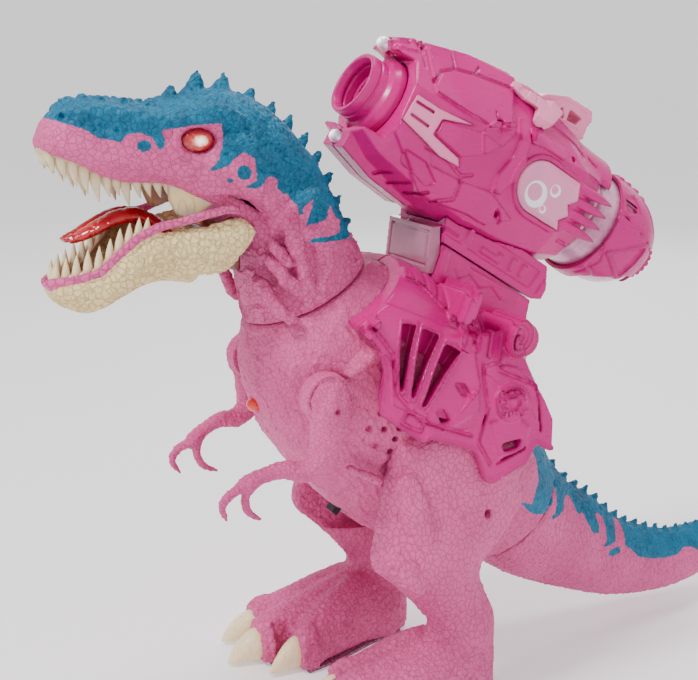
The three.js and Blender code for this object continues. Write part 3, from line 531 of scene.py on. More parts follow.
def enamel(name, base, root, roughness=0.3):
    """Painted tooth or claw: streaks along it and a darker root, from the attribute tip."""
    s = Shader(name, roughness=roughness, coat=0.15, subsurface=0.08)
    streak = s.noise(1.6, 3.0, (1, 1, 0.22))
    body = s.mix(s.range(streak, 0.3, 0.75), base, tuple(0.86 * v for v in base))
    body = s.mix(s.range(s.attribute("tip"), 0.0, 0.35), root, body)
    # Painted shade: hollows found by pointiness darken towards a deeper root colour.
    s.colour(s.mix(s.cavity(0.36, 0.5), tuple(0.6 * v for v in root), body))
    s.bump(streak, 0.12, 0.8)
    return s.material


HEAD_SKIN = skin("head_skin", 3.2, depth=0.38)
JAW_SKIN = skin("jaw_skin", 3.3, depth=0.6, groove=0.15, cream=True)
BODY_SKIN = skin("body_skin", 2.6, (1, 1, 0.8), depth=0.26, groove=0.07)
TAIL_SKIN = skin("tail_skin", 2.6, (1, 1.0, 0.45), depth=0.34, groove=0.09)
LEG_SKIN = skin("leg_skin", 3.0, (1, 1, 0.75), depth=0.36, groove=0.10)
ARM_SKIN = skin("arm_skin", 2.2, depth=0.28, groove=0.09)
# The third argument of each is the painted shade colour for hollows.
MAGENTA_GLOSS = moulded("magenta_gloss", MAGENTA, (0.10, 0.0, 0.02))
PALE_SATIN = moulded("pale_satin", PALE, (0.34, 0.10, 0.18), 0.36, 0.1)
TOOTH = enamel("tooth", (0.88, 0.76, 0.46), (0.60, 0.36, 0.22))
CLAW = enamel("claw_enamel", (0.92, 0.76, 0.46), (0.62, 0.42, 0.26), 0.38)


# ------------------------------------------------------------------ head
SKULL = [
    [-164, 316, -164, 321, 8], [-161, 309, -159, 330, 15], [-151, 304, -149, 337, 19],
    [-140, 300, -139, 338, 21],
    [-125, 297, -124, 336, 24.5], [-110, 294, -108, 335, 28.5], [-98, 289, -95, 338, 33],
    [-85, 282, -79, 341, 36],
    [-72, 274, -65, 339, 36.5], [-60, 266, -51, 331, 35.5], [-52, 262, -40, 319, 32]]
THROAT = [
    [-56, 206, 11, 236, 34], [-59, 222, 3, 252, 34.5], [-61, 240, -6, 268, 33.5],
    [-62, 256, -16, 288, 33.5],
    [-67, 270, -29, 310, 34], [-80, 288, -46, 326, 33]]
LIP = [(-180, 326), (-164, 315.5), (-150, 310), (-140, 304), (-128, 300), (-110, 299), (-103, 296),
       (-97, 292)]
HEAD_BLUE = [
    (-162, 331), (-158, 330), (-147, 326), (-141, 322), (-131, 320), (-129, 323), (-126, 324), (-122, 324),
    (-117, 322),
    (-114, 316), (-112, 317), (-111, 320), (-113, 325), (-102, 327), (-92, 328), (-86, 328), (-85, 323),
    (-86, 317),
    (-88, 312), (-92, 307), (-91, 306), (-85, 308), (-80, 312), (-76, 314), (-71, 311), (-70, 306),
    (-71, 301),
    (-77, 298), (-72, 297), (-69, 298), (-65, 301), (-61, 302), (-58, 300), (-59, 296), (-56, 293),
    (-53, 293),
    (-48, 286), (-46, 282), (-43, 282), (-44, 285), (-42, 290), (-39, 289), (-38, 285), (-40, 281),
    (-42, 276),
    (-34, 277), (-29, 278), (-27, 282), (-25, 284), (-23, 282), (-20, 276), (-20, 270), (-29, 269),
    (-39, 270),
    (-42, 268), (-20, 266), (10, 262), (20, 300), (-20, 360), (-120, 365), (-170, 350)]


def egg(y, z, centre, radii):
    return min(radii) * (1 - np.hypot((y - centre[0]) / radii[0], (z - centre[1]) / radii[1]))


def sculpt_head():
    clay = Clay((-46, -172, 214), (46, 22, 362), 0.85)
    clay.add(loft(spine(SKULL), square=0.82)).add(loft(spine(THROAT)), 9)
    brow = [tube([(13, -152, 333), (18, -140, 334), (22.5, -124, 331), (27, -110, 329), (31, -98, 331),
                  (33, -86, 332), (33.5, -76, 328)],
                 [2.2, 3.6, 3.6, 3.4, 4.6, 4.8, 2.6]),
            tube([(10.5, -158, 320), (17, -150, 318), (21, -138, 313), (24.5, -124, 309), (28, -110, 306),
                  (31.5, -100, 303)],
                 [2, 3, 3.2, 3.2, 3.2, 2.5]),
            tube([(34.5, -90, 310), (36, -80, 306), (36.5, -70, 298), (35, -60, 290)], [2.5, 5, 5.5, 3]),
            tube([(34, -82, 320), (35.5, -74, 316), (36, -66, 308)], [3, 4.5, 3])]
    lids = [tube([(31.5, *p) for p in ring_line(EYE[1:], 10.4, 0, 330, 12)], [1.9] * 13, around=10,
                 steps=3)]
    clay.add(both(together(*brow)), 5)
    clay.add(both(together(*lids)), 2)
    folds = [tube([(33.5, -60, 286), (35.5, -52, 276), (35, -46, 262), (34.8, -42, 246), (34.5, -40, 234)],
                  [1, 2.2, 2.4, 2.2, 1]),
             tube([(33, -54, 280), (34.5, -42, 272), (33, -30, 262), (30, -22, 252)], [1, 2, 2.2, 1]),
             tube([(28, -62, 262), (32.5, -54, 252), (34.5, -44, 242), (34, -34, 238)], [1.2, 2.4, 2.4, 1]),
             tube([(33, -62, 282), (36.5, -52, 286), (36, -42, 290), (33.5, -34, 292)], [1, 2, 2, 0.8]),
             tube([(22, -64, 250), (29, -60, 241), (33, -54, 232), (34.8, -44, 226)], [1.2, 2.2, 2.2, 1]),
             tube([(31, -24, 262), (33.5, -30, 250), (34.3, -34, 240)], [0.8, 2, 1]),
             tube([(27, -64, 274), (31.5, -58, 266), (34, -50, 256)], [1, 2, 1])]
    clay.add(both(together(*folds)), 5)
    crown = [((0, -152, 336), 3.2, 3), ((5, -148, 337), 3, 2.2), ((0, -142, 338), 3, 3),
             ((6, -136, 337), 3.2, 3), ((0, -131, 337), 3, 2.5),
             ((6.5, -124, 336), 3.2, 3.2), ((0, -119, 336), 3, 2.5), ((8, -112, 334), 3.4, 3.6),
             ((0, -108, 335), 3.4, 3)]
    bumps = [tube([np.array(c) - [0, 0, 3], np.array(c) + [0, 0, h]], [r, r * 0.45], steps=3) for c, r,
             h in crown]
    bumps += [flipped(tube([np.array(c) - [0, 0, 3], np.array(c) + [0, 0, h]], [r, r * 0.45], steps=3))
              for c, r, h in crown if c[0]]
    clay.add(together(*bumps), 2.5)
    ridge = [((0, -99), (334, 345), 6), ((0, -86), (336, 352), 7.5), ((0, -72), (336, 351), 6.5),
             ((0, -58), (330, 343), 6), ((0, -47), (322, 336), 5.5),
             ((0, -38), (315, 329), 5.2), ((0, -30), (306, 320), 5), ((0, -23), (296, 310), 4.8),
             ((0, -17), (286, 298), 4.6),
             ((0, -11), (275, 286), 4.4), ((0, -6), (264, 273), 4)]
    spikes = []
    for k, ((_, y), (z0, z1), r) in enumerate(ridge):
        lean = 2 + 5 * step(0, 8, k)
        spikes.append(tube([(0, y - lean, z0 - 3), (0, y + lean * 0.3, (z0 + z1) / 2), (0, y + lean, z1)],
                           [r, r * 0.62, 0.4], around=8, steps=3))
        for side, (drop, small) in enumerate(((7, 0.8), (14.5, 0.66), (21, 0.5))):
            x = (9.5, 18, 25.5)[side]
            stagger = 4.5 if side % 2 == 0 else 0
            z = z0 - drop * (0.55 + 0.09 * min(k, 6))
            base = (x, y - lean + stagger, z - 2)
            spikes.append(both(tube([base, (x * 1.17, y + stagger + 1, z + (z1 - z0) * small * 0.85)],
                                    [r * (0.9 - 0.14 * side), 0.4],
                                    around=7, steps=3)))
    clay.add(together(*spikes), 1.6)
    clay.soften(1)
    point, normal = above_neck(0.35)
    clay.keep(-clay.plane(point, normal), 1.2)
    roof = clay.level(slab([*[(y, z + 7) for y, z in LIP], (-97, 296), (-60, 290), (-60, 180), (-200, 180),
                            (-200, 333)], -60, 60))
    vault = clay.level(loft(spine(SKULL, -4.2), square=0.82))
    clay.cut(np.maximum(vault, roof), 1)
    clay.cut(slab([*LIP, (-97, 180), (-200, 180), (-200, 326)], -60, 60), 2.2)
    for side in (1, -1):
        low, high = (27.6, 70) if side > 0 else (-70, -27.6)
        clay.cut(clay.rod_x(JAW_PIVOT, 22.7, low, high), 1)
        socket = EYE * [side, 1, 1]
        clay.cut(ball(socket + np.array([side * 3.2, 0, 0]), (5.4, 8.4, 5.8)), 1.5)
        clay.cut(ball((side * 10.8, -155.5, 331.5), (4, 2.6, 1.7)), 1.6)
    mesh = clay.mesh()
    p = mesh[0]
    y, z = p[:, 1], p[:, 2]
    curl = np.maximum.reduce([egg(y, z, (-121, 318), (3.4, 2.6)), egg(y, z, (-77, 305), (3.6, 3.4)),
                              egg(y, z, (-83, 301), (1.3, 1.1))])
    blue = np.maximum(inside(y, z, HEAD_BLUE), curl)
    blue = np.where(z < 266, -3, blue)
    neck = step(-92, -60, y) * (1 - step(296, 318, z))
    rough = step(-0.5, 2.5, blue)
    wrinkles = creases(p, 15, (0.8, 0.7, 1.5), 0.14) * 1.5 + creases(p + 40, 8, (0.8, 0.8, 1.3), 0.10) * 0.6
    hide = pebbles(p, 3.4)
    relief = -neck * wrinkles * (1 - 0.6 * rough) + clouds(p,
                                                           11) * 0.35 + (hide - 0.5) * (0.30 + 0.75 * rough)
    near_seam = step(0, 2.5, (p - NECK) @ np.array(normal) - 0.35)
    lip_edge = step(0, 2.0, z - np.interp(y, [q[0] for q in LIP], [q[1] for q in LIP]))
    relief *= near_seam * np.where((y < -97), 0.35 + 0.65 * lip_edge, 1)
    mesh = pressed(mesh, relief)
    make("head", mesh, "head", ("head_left", "head_right"), {"blue": blue}, material=HEAD_SKIN)


def fang(root, length, width, lean=(0, 0, 0), down=True):
    """A tooth: an oval cone that bends towards lean."""
    root, lean = np.array(root, float), np.array(lean, float)
    drop = np.array([0, 0, -1.0 if down else 1.0])
    t = np.linspace(0, 1, 6)
    rows = [[*(root + drop * length * v + lean * v * v), width * f, 0, 0, 0, width * 1.1 * f, 0]
            for v, f in zip(t, (1, 1.02, 0.9, 0.68, 0.4, 0.06))]
    mesh = loft(rows, 12, 12)
    return mesh, np.repeat(np.linspace(0, 1, 13), 12).tolist() + [0, 1]


def tooth_row(name, teeth, gum, body, node):
    meshes, tips = [gum], [np.full(len(gum[0]), 0.12)]
    for mesh, tip in teeth:
        meshes += [mesh, flipped(mesh)]
        tips += [np.array(tip)] * 2
    make(name, together(*meshes), body, (node,), {"tip": np.concatenate(tips)}, material=TOOTH)


def upper_half_width(y, z, inset):
    rows = np.array(SKULL, float)
    order = np.argsort(rows[:, 0])
    low, top, width = (np.interp(y, rows[order, 0], rows[order, k]) for k in (1, 3, 4))
    q = min(1.0, abs(z - (low + top) / 2) / ((top - low) / 2 - inset)) ** (1 / 0.82)
    return max(2.0, (1 - q * q) ** 0.41 * (width - inset))


def lip_height(y):
    return float(np.interp(y, [p[0] for p in LIP], [p[1] for p in LIP]))


def make_mouth():
    places = [(-161.5, 9, 2.1), (-157, 10, 2.2), (-152, 12, 2.3), (-147, 13, 2.5), (-141.5, 14, 2.6),
              (-136, 10, 2.2), (-131, 8, 2.0),
              (-126.5, 12, 2.4), (-121.5, 8, 2.0), (-117, 7.5, 2.0), (-112.5, 7.5, 2.0), (-108, 7, 1.9),
              (-104, 6, 1.7)]
    teeth = []
    for y, length, width in places:
        z = lip_height(y)
        x = upper_half_width(y, z + 3.2, 4.0)
        teeth.append(fang((x, y, z + 2.2), length + 2, width, (-0.6, 2.0, 0)))
    line = [(upper_half_width(y, lip_height(y) + 3.2, 4.4), y, lip_height(y) + 1.2)
            for y in np.linspace(-160, -103, 12)]
    front = [(-line[0][0], line[0][1], line[0][2]), (-4, -162.2, 315.6), (4, -162.2, 315.6)]
    gum = together(both(tube(line, [2.3] * 12, 10, 3)), tube([*front, line[0]], [2.3] * 4, 10, 4))
    for x in (2.2, 6.8):
        teeth.append(fang((x, -162.4 + x * 0.1, 317), 9.5, 2.0, (0, 1.6, 0)))
    tooth_row("upper_teeth_row", teeth, gum, "head", "upper_teeth")

    roof = loft([[0, -158, 320, 10, 0, 0, 0, 0, 1.2], [0, -140, 314.5, 15, 0, 0, 0, 0, 1.6],
                 [0, -120, 309, 19.5, 0, 0, 0, 0, 2],
                 [0, -104, 305, 23, 0, 0, 0, 0, 2.4], [0, -92, 297, 25, 0, 0, 0, 0, 3],
                 [0, -80, 286, 25, 0, 2, 0, 0, 4],
                 [0, -74, 270, 24, 0, 0, 0, 4, 1], [0, -72, 254, 20, 0, 0, 0, 4, 1]], 48, 60)
    p = roof[0]
    ribs = np.cos(p[:, 1] * 1.25) * 0.4 * step(4, 9, np.abs(p[:, 0])) - 0.8 * np.exp(-(p[:, 0] / 1.6) ** 2)
    s = Shader("palate_red", roughness=0.28, coat=0.3, subsurface=0.05)
    # Painted shade: hollows found by pointiness darken to a near-black red.
    s.colour(s.mix(s.cavity(0.42, 0.54), (0.10, 0.004, 0.006),
                   s.mix(s.range(s.noise(9), 0.3, 0.7), (0.30, 0.012, 0.018), (0.20, 0.006, 0.01))))
    s.bump(s.noise(2.4, 3.0, (1, 0.5, 1)), 0.3, 0.8)
    make("palate", pressed(roof, ribs), "head", (), material=s.material)

    web = Clay((-30, -114, 276), (30, -60, 310), 0.7)
    side = slab([(-108, 302), (-108, 291), (-105, 284), (-100, 282), (-96, 283), (-88, 288), (-80, 290.5),
                 (-72, 290), (-66, 293), (-66, 300), (-90, 304)], 20, 27)
    web.add(both(side))
    bend = np.interp(web.y, [-112, -104, -96, -88, -66], [20.4, 21.6, 23.4, 25.0, 25.6])
    web.keep(np.maximum(np.abs(web.x) - bend - 0.9, bend - 0.9 - np.abs(web.x)), 0.6)
    mesh = web.mesh()
    p = mesh[0]
    mesh = pressed(mesh, -creases(p, 6, (1, 1, 2), 0.2) * 0.35)
    s = Shader("mouth_corner", roughness=0.42, subsurface=0.1)
    # Painted shade: hollows found by pointiness darken towards the cream shade colour.
    s.colour(s.mix(s.cavity(0.42, 0.52), CREAM_SHADE, s.mix(s.range(s.noise(12), 0.35, 0.65), CREAM,
                                                           (0.62, 0.56, 0.42))))
    s.bump(s.noise(2.5, 3.0, (1, 1, 0.4)), 0.3, 0.8)
    make("mouth_corners", mesh, "head", (), material=s.material)


# ------------------------------------------------------------------ lower jaw and tongue
JAW = [
    [-164, 248, -164, 252, 6], [-160, 242, -160, 255, 12.5], [-150, 237, -151, 257, 18],
    [-142, 238, -142, 260, 21.5],
    [-132, 243, -134, 268, 25], [-122, 248, -125, 276, 27.5], [-112, 250, -115, 281, 29.5],
    [-102, 249, -104, 283, 31.5],
    [-91, 247, -93, 286, 33.5], [-81, 250, -82, 288, 34], [-73, 259, -74, 287, 33.5],
    [-67, 270, -68, 279, 32]]
JAW_TOP = [(row[2], row[3]) for row in JAW]


def jaw_top(y):
    return np.interp(y, [p[0] for p in JAW_TOP], [p[1] for p in JAW_TOP])


def jaw_width(y):
    return float(np.interp(y, [row[0] for row in JAW], [row[4] for row in JAW]))


def sculpt_jaw():
    clay = Clay((-40, -170, 230), (40, -60, 296), 0.75)
    clay.add(loft(spine(JAW), square=0.8))
    rim = [(min(jaw_width(y) - 1.2, 33), y, float(jaw_top(y)) - 1.6) for y in np.linspace(-158, -76, 16)]
    rim = [(4, -164.4, 252)] + rim
    rim = [(x * (0.93 if y < -100 else 0.97), y, z) for x, y, z in rim]
    clay.add(both(tube(rim, [2.2] * 17, 12, 3)), 3)
    raised = [[fy, fz + 5.5, by, bz + 24, w] for fy, fz, by, bz, w in JAW]
    clay.cut(loft(spine(raised, 0, -5.6), square=0.8), 1.5)
    inner = meet(np.abs(clay.x) - 27.8, np.abs(clay.y + 76) - 20, np.abs(clay.z - 271) - 40)
    clay.cut(inner, 0.6)
    clay.soften(1)
    mesh = clay.mesh()
    p = mesh[0]
    edge = jaw_top(p[:, 1]) - p[:, 2]
    band = np.interp(p[:, 1], [-164, -140, -118, -100, -90, -80, -70], [3.0, 3.5, 4.2, 5.5, 6.5, 4.6, 3.4])
    outer = np.abs(p[:, 0]) > np.interp(p[:, 1], [r[0] for r in JAW], [r[4] for r in JAW]) * 0.72
    lip = np.where(outer | (p[:, 1] < -150), band - edge, -4)
    hide = pebbles(p, 3.5)
    outside = step(-1, 2, edge - band)
    relief = outside * (hide - 0.55) * 0.9 + clouds(p, 12) * 0.2
    mesh = pressed(mesh, relief)
    make("lower_jaw", mesh, "jaw", ("jaw",), {"lip": lip}, material=JAW_SKIN)

    places = [(-160.5, 8, 1.9), (-156.5, 9, 2.0), (-152, 9.5, 2.1), (-147, 10.5, 2.2), (-142, 10.5, 2.2),
              (-137, 9, 2.1), (-132.5, 9.5, 2.2),
              (-128, 8, 2.0), (-123.5, 7, 1.9), (-119.5, 5, 1.7)]
    teeth = []
    for y, length, width in places:
        z = float(jaw_top(y))
        teeth.append(fang((jaw_width(y) - 6.4, y, z - 2.5), length + 2.5, width, (0.2, 0.6, 0), down=False))
    line = [(jaw_width(y) - 6.8, y, float(jaw_top(y)) - 1.2) for y in np.linspace(-158, -119, 11)]
    gum = together(both(tube(line, [2.0] * 11, 10, 3)), tube([(-line[0][0], -158.5, 253.4),
                                                              (-3, -160.6, 252.6), (3, -160.6, 252.6),
                                                              line[0]], [2] * 4, 10, 4))
    teeth.append(fang((2.2, -160.8, 251.5), 9, 1.8, (0, 0, 0), down=False))
    tooth_row("lower_teeth_row", teeth, gum, "jaw", "lower_teeth")

    floor = loft([[0, -156, 249, 10, 0, 0, 0, 0, 1], [0, -146, 248, 14, 0, 0, 0, 0, 2],
                  [0, -132, 254, 18, 0, 0, 0, 0, 2],
                  [0, -118, 260, 21, 0, 0, 0, 0, 2], [0, -104, 262, 23, 0, 0, 0, 0, 2],
                  [0, -96, 264, 23, 0, 0, 0, 0, 1]], 40, 30)
    make("jaw_lining", floor, "jaw", (), material=bpy.data.materials["palate_red"])


def make_tongue():
    rows = limb([[0, -100, 261, 10, 2, 10], [0, -102, 267, 11.5, 5, 30], [0, -109, 276, 12, 4.8, 60],
                 [0, -119, 282, 12, 4.4, 80],
                 [0, -130, 281.5, 11.4, 4.2, 96], [0, -141, 277, 9.8, 3.8, 104],
                 [0, -149, 273.5, 7.2, 3.2, 96],
                 [0, -154, 273, 4.4, 2.2, 88], [0, -156.5, 273.5, 1.0, 0.7, 88]])
    mesh = loft(rows, 72, 120)
    p = mesh[0]
    top = step(-1, 1, normals_of(mesh)[:, 2] * 2)
    groove = -1.7 * np.exp(-(p[:, 0] / 1.9) ** 2) * top
    wrinkles = -creases(p, 6, (2.2, 0.45, 1), 0.16) * 0.45
    s = Shader("tongue_red", roughness=0.16, coat=0.7, subsurface=0.08)
    tone = s.mix(s.range(s.noise(10), 0.3, 0.7), (0.50, 0.012, 0.015), (0.36, 0.008, 0.012))
    # Painted shade: hollows and wrinkles found by pointiness darken to a deep red.
    s.colour(s.mix(s.cavity(0.40, 0.52), (0.14, 0.003, 0.005), tone))
    s.bump(s.noise(1.8, 3.0, (1, 0.5, 1)), 0.25, 0.7)
    make("tongue_sculpt", pressed(mesh, groove + wrinkles), "jaw", ("tongue",),
         material=s.material)


def make_eyes():
    for name, side in (("left", 1), ("right", -1)):
        mesh = ball(EYE * [side, 1, 1] + np.array([side * 0.6, 0, 0]), (4.6, 8.6, 6.1), 64, 48)
        p = mesh[0]
        from_middle = np.hypot((p[:, 1] - EYE[1]) / 8.6, (p[:, 2] - EYE[2]) / 6.1)
        cut_glass = pebbles(p, 1.7) * 0.35 * step(0.25, 0.6, from_middle)
        s = bpy.data.materials.get("eye_lens")
        if s is None:
            lens = Shader("eye_lens", roughness=0.08, coat=1.0)
            middle = lens.math("ADD", lens.attribute("middle"),
                               lens.math("MULTIPLY", lens.noise(1.6, 3.0), 0.34))
            tone = lens.ramp(middle, (0.28, (1.0, 0.93, 0.86)), (0.50, (1.0, 0.55, 0.42)),
                             (0.66, (0.62, 0.03, 0.03)), (1.0, (0.30, 0.008, 0.01)))
            lens.colour(tone)
            lens.wire(tone, lens.bsdf.inputs["Emission Color"])
            lens.wire(lens.range(middle, 0.2, 0.7, 1.3, 0.0), lens.bsdf.inputs["Emission Strength"])
            lens.bump(lens.cells(1.5), 0.3, 0.8)
            s = lens.material
        make("eye_lens_" + name, pressed(mesh, cut_glass), "head", ("eye_" + name,),
             {"middle": from_middle}, material=s)


# ------------------------------------------------------------------ torso and tail
TORSO = [
    [-63, 240, 12, 279, 34], [-59, 222, 4, 254, 35], [-61, 203, 26, 243, 44], [-57, 178, 52, 227, 50],
    [-45, 153, 76, 204, 54], [-22, 124, 97, 178, 55], [8, 97, 112, 151, 52], [45, 76, 121, 134, 46],
    [80, 65, 129, 121, 38], [98, 54, 142, 106, 34]]
TAIL = [
    [62, 76, 117, 138, 42], [80, 65, 129, 121, 38], [105, 48, 150, 98, 31], [127, 37, 170, 84, 26],
    [152, 27, 190, 67, 22], [180, 17, 211, 57, 18.5], [208, 12, 232, 50, 16], [236, 11, 254, 49, 14],
    [262, 16, 272, 51, 12.5], [286, 28, 288, 58, 10], [309, 46, 303, 68, 7], [328, 66, 317, 81, 4.5],
    [343, 93, 340, 95, 1]]
TAIL_SEAM = ((80, 65), (129, 121))
TAIL_BLUE = [
    (92, 150), (96, 133), (98, 128), (99, 121), (96, 114), (90, 107), (95, 106), (103, 110), (108, 114),
    (114, 115),
    (119, 112), (121, 106), (120, 99), (118, 94), (114, 94), (117, 91), (123, 92), (128, 94), (129, 99),
    (134, 100),
    (138, 96), (141, 88), (143, 86), (148, 85), (151, 78), (155, 71), (161, 70), (162, 75), (160, 80),
    (164, 80),
    (168, 76), (168, 68), (168, 63), (164, 60), (170, 59), (177, 60), (179, 67), (183, 70), (188, 68),
    (187, 61),
    (185, 55), (191, 51), (197, 45), (208, 41), (223, 38), (233, 38), (239, 41), (246, 40), (256, 34),
    (268, 37),
    (280, 44), (296, 58), (312, 74), (330, 90), (350, 96), (350, 130), (240, 130), (120, 170)]
SPEAKER = [(-13, 170), (-5, 169), (3, 169), (1, 163), (10, 161), (-9, 160), (-1, 156), (-7, 178)]


def tail_plane(clay, gap, side):
    (y0, z0), (y1, z1) = TAIL_SEAM
    n = np.array([0, -(z1 - z0), y1 - y0], float)
    n /= np.linalg.norm(n)
    return side * clay.plane((0, (y0 + y1) / 2, (z0 + z1) / 2), n) + gap


def turned_box(clay, centre, tilt, half):
    c, s = math.cos(math.radians(tilt)), math.sin(math.radians(tilt))
    y = (clay.y - centre[1]) * c + (clay.z - centre[2]) * s
    z = (clay.z - centre[2]) * c - (clay.y - centre[1]) * s
    return meet(np.abs(clay.x - centre[0]) - half[0], np.abs(y) - half[1], np.abs(z) - half[2])


def door_frame(clay):
    """Distances along the battery door and out of the belly, from the middle of the door block."""
    c, s = math.cos(math.radians(28)), math.sin(math.radians(28))
    return (clay.y - 52) * c + (clay.z - 62) * s, (clay.z - 62) * c - (clay.y - 52) * s


def sculpt_battery_door():
    clay = Clay((-26, 20, 30), (26, 84, 100), 0.6)
    clay.add(loft(spine(TORSO), 72, 90))
    across, outward = door_frame(clay)
    clay.keep(meet(np.abs(clay.x) - 22.7, np.abs(across) - 22.7, outward) * np.ones(clay.shape), 0.8)
    clay.cut(loft(spine(TORSO, -2.6), 72, 90), 0)
    rib = np.maximum(np.abs(np.abs(clay.x) - 15) - 0.6, np.abs(across) - 15)
    clay.cut(np.maximum(rib, -clay.field - 0.6), 0.3)
    for place in (10, 13, 16):
        clay.add(meet(np.abs(across - place) - 0.7, np.abs(clay.x) - 7, clay.field - 0.6), 0.4)
    well = np.hypot(clay.x, clay.y - 36)
    clay.cut(np.maximum(well - 2.3, outward), 0.4)
    mesh = clay.mesh()
    grain = clouds(mesh[0], 9) * 0.08
    blue = np.full(len(mesh[0]), -5.0)
    make("battery_door", pressed(mesh, grain), "body", ("battery_cover",), {"blue": blue},
         material=BODY_SKIN)


def sculpt_torso():
    clay = Clay((-60, -68, 50), (60, 134, 270), 1.0)
    clay.add(loft(spine(TORSO), 72, 90))
    folds = [tube([(50.5, -26, 200), (52.0, -12, 209), (50.5, 6, 214)], [1, 2.2, 1]),
             tube([(47, -25, 150), (50.5, -8, 141), (49, 6, 132)], [1, 2.0, 1])]
    clay.add(both(together(*folds)), 9)
    point, normal = above_neck(-0.35)
    clay.keep(clay.plane(point, normal), 1.4)
    clay.keep(tail_plane(clay, 0.35, -1), 1.0)
    for side in (1, -1):
        low, high = (44.6, 90) if side > 0 else (-90, -44.6)
        clay.cut(clay.rod_x(HIP, 47.0, low, high), 1.4)
        low, high = (43.2, 90) if side > 0 else (-90, -43.2)
        clay.cut(clay.rod_x(SHOULDER, 13.8, low, high), 2)
        for y, z in SPEAKER:
            low, high = (46, 70) if side > 0 else (-70, -46)
            clay.cut(clay.rod_x((0, y, z), 1.55, low, high), 0.8)
    lens = np.sqrt(clay.x**2 + (clay.y + 57)**2 + (clay.z - 176)**2) - 4.3
    clay.cut(lens, 1)
    across, outward = door_frame(clay)
    clay.cut(meet(np.abs(clay.x) - 23, np.abs(across) - 23, -clay.field - 3, outward), 0.6)
    slot = turned_box(clay, (0, -6, 110), -42, (7.7, 3.5, 10.2))
    clay.cut(slot, 0.8)
    mesh = clay.mesh()
    p = mesh[0]
    at = np.column_stack([p[:, 0], p[:, 1] * 0.8 + p[:, 2] * 0.6, p[:, 2] * 0.8 - p[:, 1] * 0.6])
    wrinkles = creases(at, 13, (1, 0.55, 1.8), 0.13) * 0.85 + creases(at + 31, 7, (1, 0.5, 2.4), 0.12) * 0.5
    calm = step(0, 3, (NECK - p) @ np.array(normal) - 0.35)
    near_hole = np.min([np.hypot(p[:, 1] - y, p[:, 2] - z) for y, z in SPEAKER], axis=0)
    calm = calm * step(1.6, 3.2, np.where(np.abs(p[:, 0]) > 40, near_hole, 9))
    calm = calm * step(0.0, 1.2, np.abs(p[:, 0]) - 0.1)
    seam = -0.5 * np.exp(-(p[:, 0] / 0.9) ** 2)
    relief = calm * (-wrinkles + clouds(p, 16) * 0.5 + (pebbles(p, 3.0, (1, 1, 1.3)) - 0.5) * 0.25) + seam
    mesh = pressed(mesh, relief)
    blue = inside(p[:, 1], p[:, 2], [(84, 112), (94, 108), (100, 120), (98, 136), (90, 170), (60, 220),
                                     (140, 200), (140, 90), (112, 96), (98, 100), (92, 104)])
    make("torso", mesh, "body", ("torso_left", "torso_right"), {"blue": blue}, material=BODY_SKIN)


def sculpt_tail():
    clay = Clay((-42, 70, 6), (42, 344, 134), 1.1)
    clay.add(loft(spine(TAIL), 64, 150))
    rows = np.array(TAIL, float)
    spikes = []
    t = np.linspace(0.12, 0.95, 25)
    top = hermite(rows, t)
    for k, row in enumerate(top):
        _, _, y, z, w = row
        size = 4.6 * (1 - t[k]) + 1.6
        ahead = hermite(rows, np.array([min(t[k] + 0.01, 1.0)]))[0]
        along = np.array([ahead[2] - y, ahead[3] - z])
        along /= max(np.linalg.norm(along), 1e-6)
        up = np.array([-along[1], along[0]])
        base = np.array([y, z]) - up * 2
        tip = np.array([y, z]) + up * size * 1.05 + along * size * 0.35
        spikes.append(tube([(0, *base), (0, *tip)], [size * 0.85, 0.4], around=8, steps=4))
        side = np.array([y, z]) - up * (1.2 + w * 0.10)
        if w > 6:
            spikes.append(both(tube([(w * 0.30, *(side - up * 1.5)),
                                     (w * 0.36, *(side + up * size * 0.5 + along))], [size * 0.7, 0.4],
                                     around=7, steps=3)))
    clay.add(together(*spikes), 1.8)
    clay.keep(tail_plane(clay, 0.35, 1), 1.0)
    mesh = clay.mesh()
    p = mesh[0]
    middle = hermite([[(r[0] + r[2]) / 2, (r[1] + r[3]) / 2] for r in TAIL], np.linspace(0, 1, 200))
    length = np.concatenate([[0], np.cumsum(np.hypot(*np.diff(middle, axis=0).T))])
    nearest = np.argmin((p[:, 1:2] - middle[None, :, 0]) ** 2 + (p[:, 2:3] - middle[None, :, 1]) ** 2,
                        axis=1)
    along = np.gradient(middle, axis=0)
    along /= np.linalg.norm(along, axis=1)[:, None]
    s = length[nearest] + ((p[:, 1:] - middle[nearest]) * along[nearest]).sum(1)
    bands = s + clouds(p, 14) * 2.2 + clouds(p + 60, 5) * 0.8
    rings = np.abs(((bands / 3.1) % 1.0) - 0.5) * 2
    groove = step(0.62, 1.0, rings)
    blue = np.maximum.reduce([inside(p[:, 1], p[:, 2], TAIL_BLUE),
                              egg(p[:, 1], p[:, 2], (113, 103), (3.4, 2.6)),
                              egg(p[:, 1], p[:, 2], (175, 54), (6, 2.4))])
    under = step(0, 3, blue)
    relief = -groove * 0.55 * (1 - 0.4 * under) - creases(p, 9, (1, 1, 1),
                                                          0.12) * 0.4 + (pebbles(p, 3.0) - 0.5) * (0.2
                                                                  + 0.5 * under)
    relief -= 0.5 * np.exp(-(np.abs(p[:, 0]) / 0.9) ** 2) * (1 - under)
    mesh = pressed(mesh, relief)
    make("tail", mesh, "body", ("tail_left", "tail_right"), {"blue": blue}, material=TAIL_SKIN)


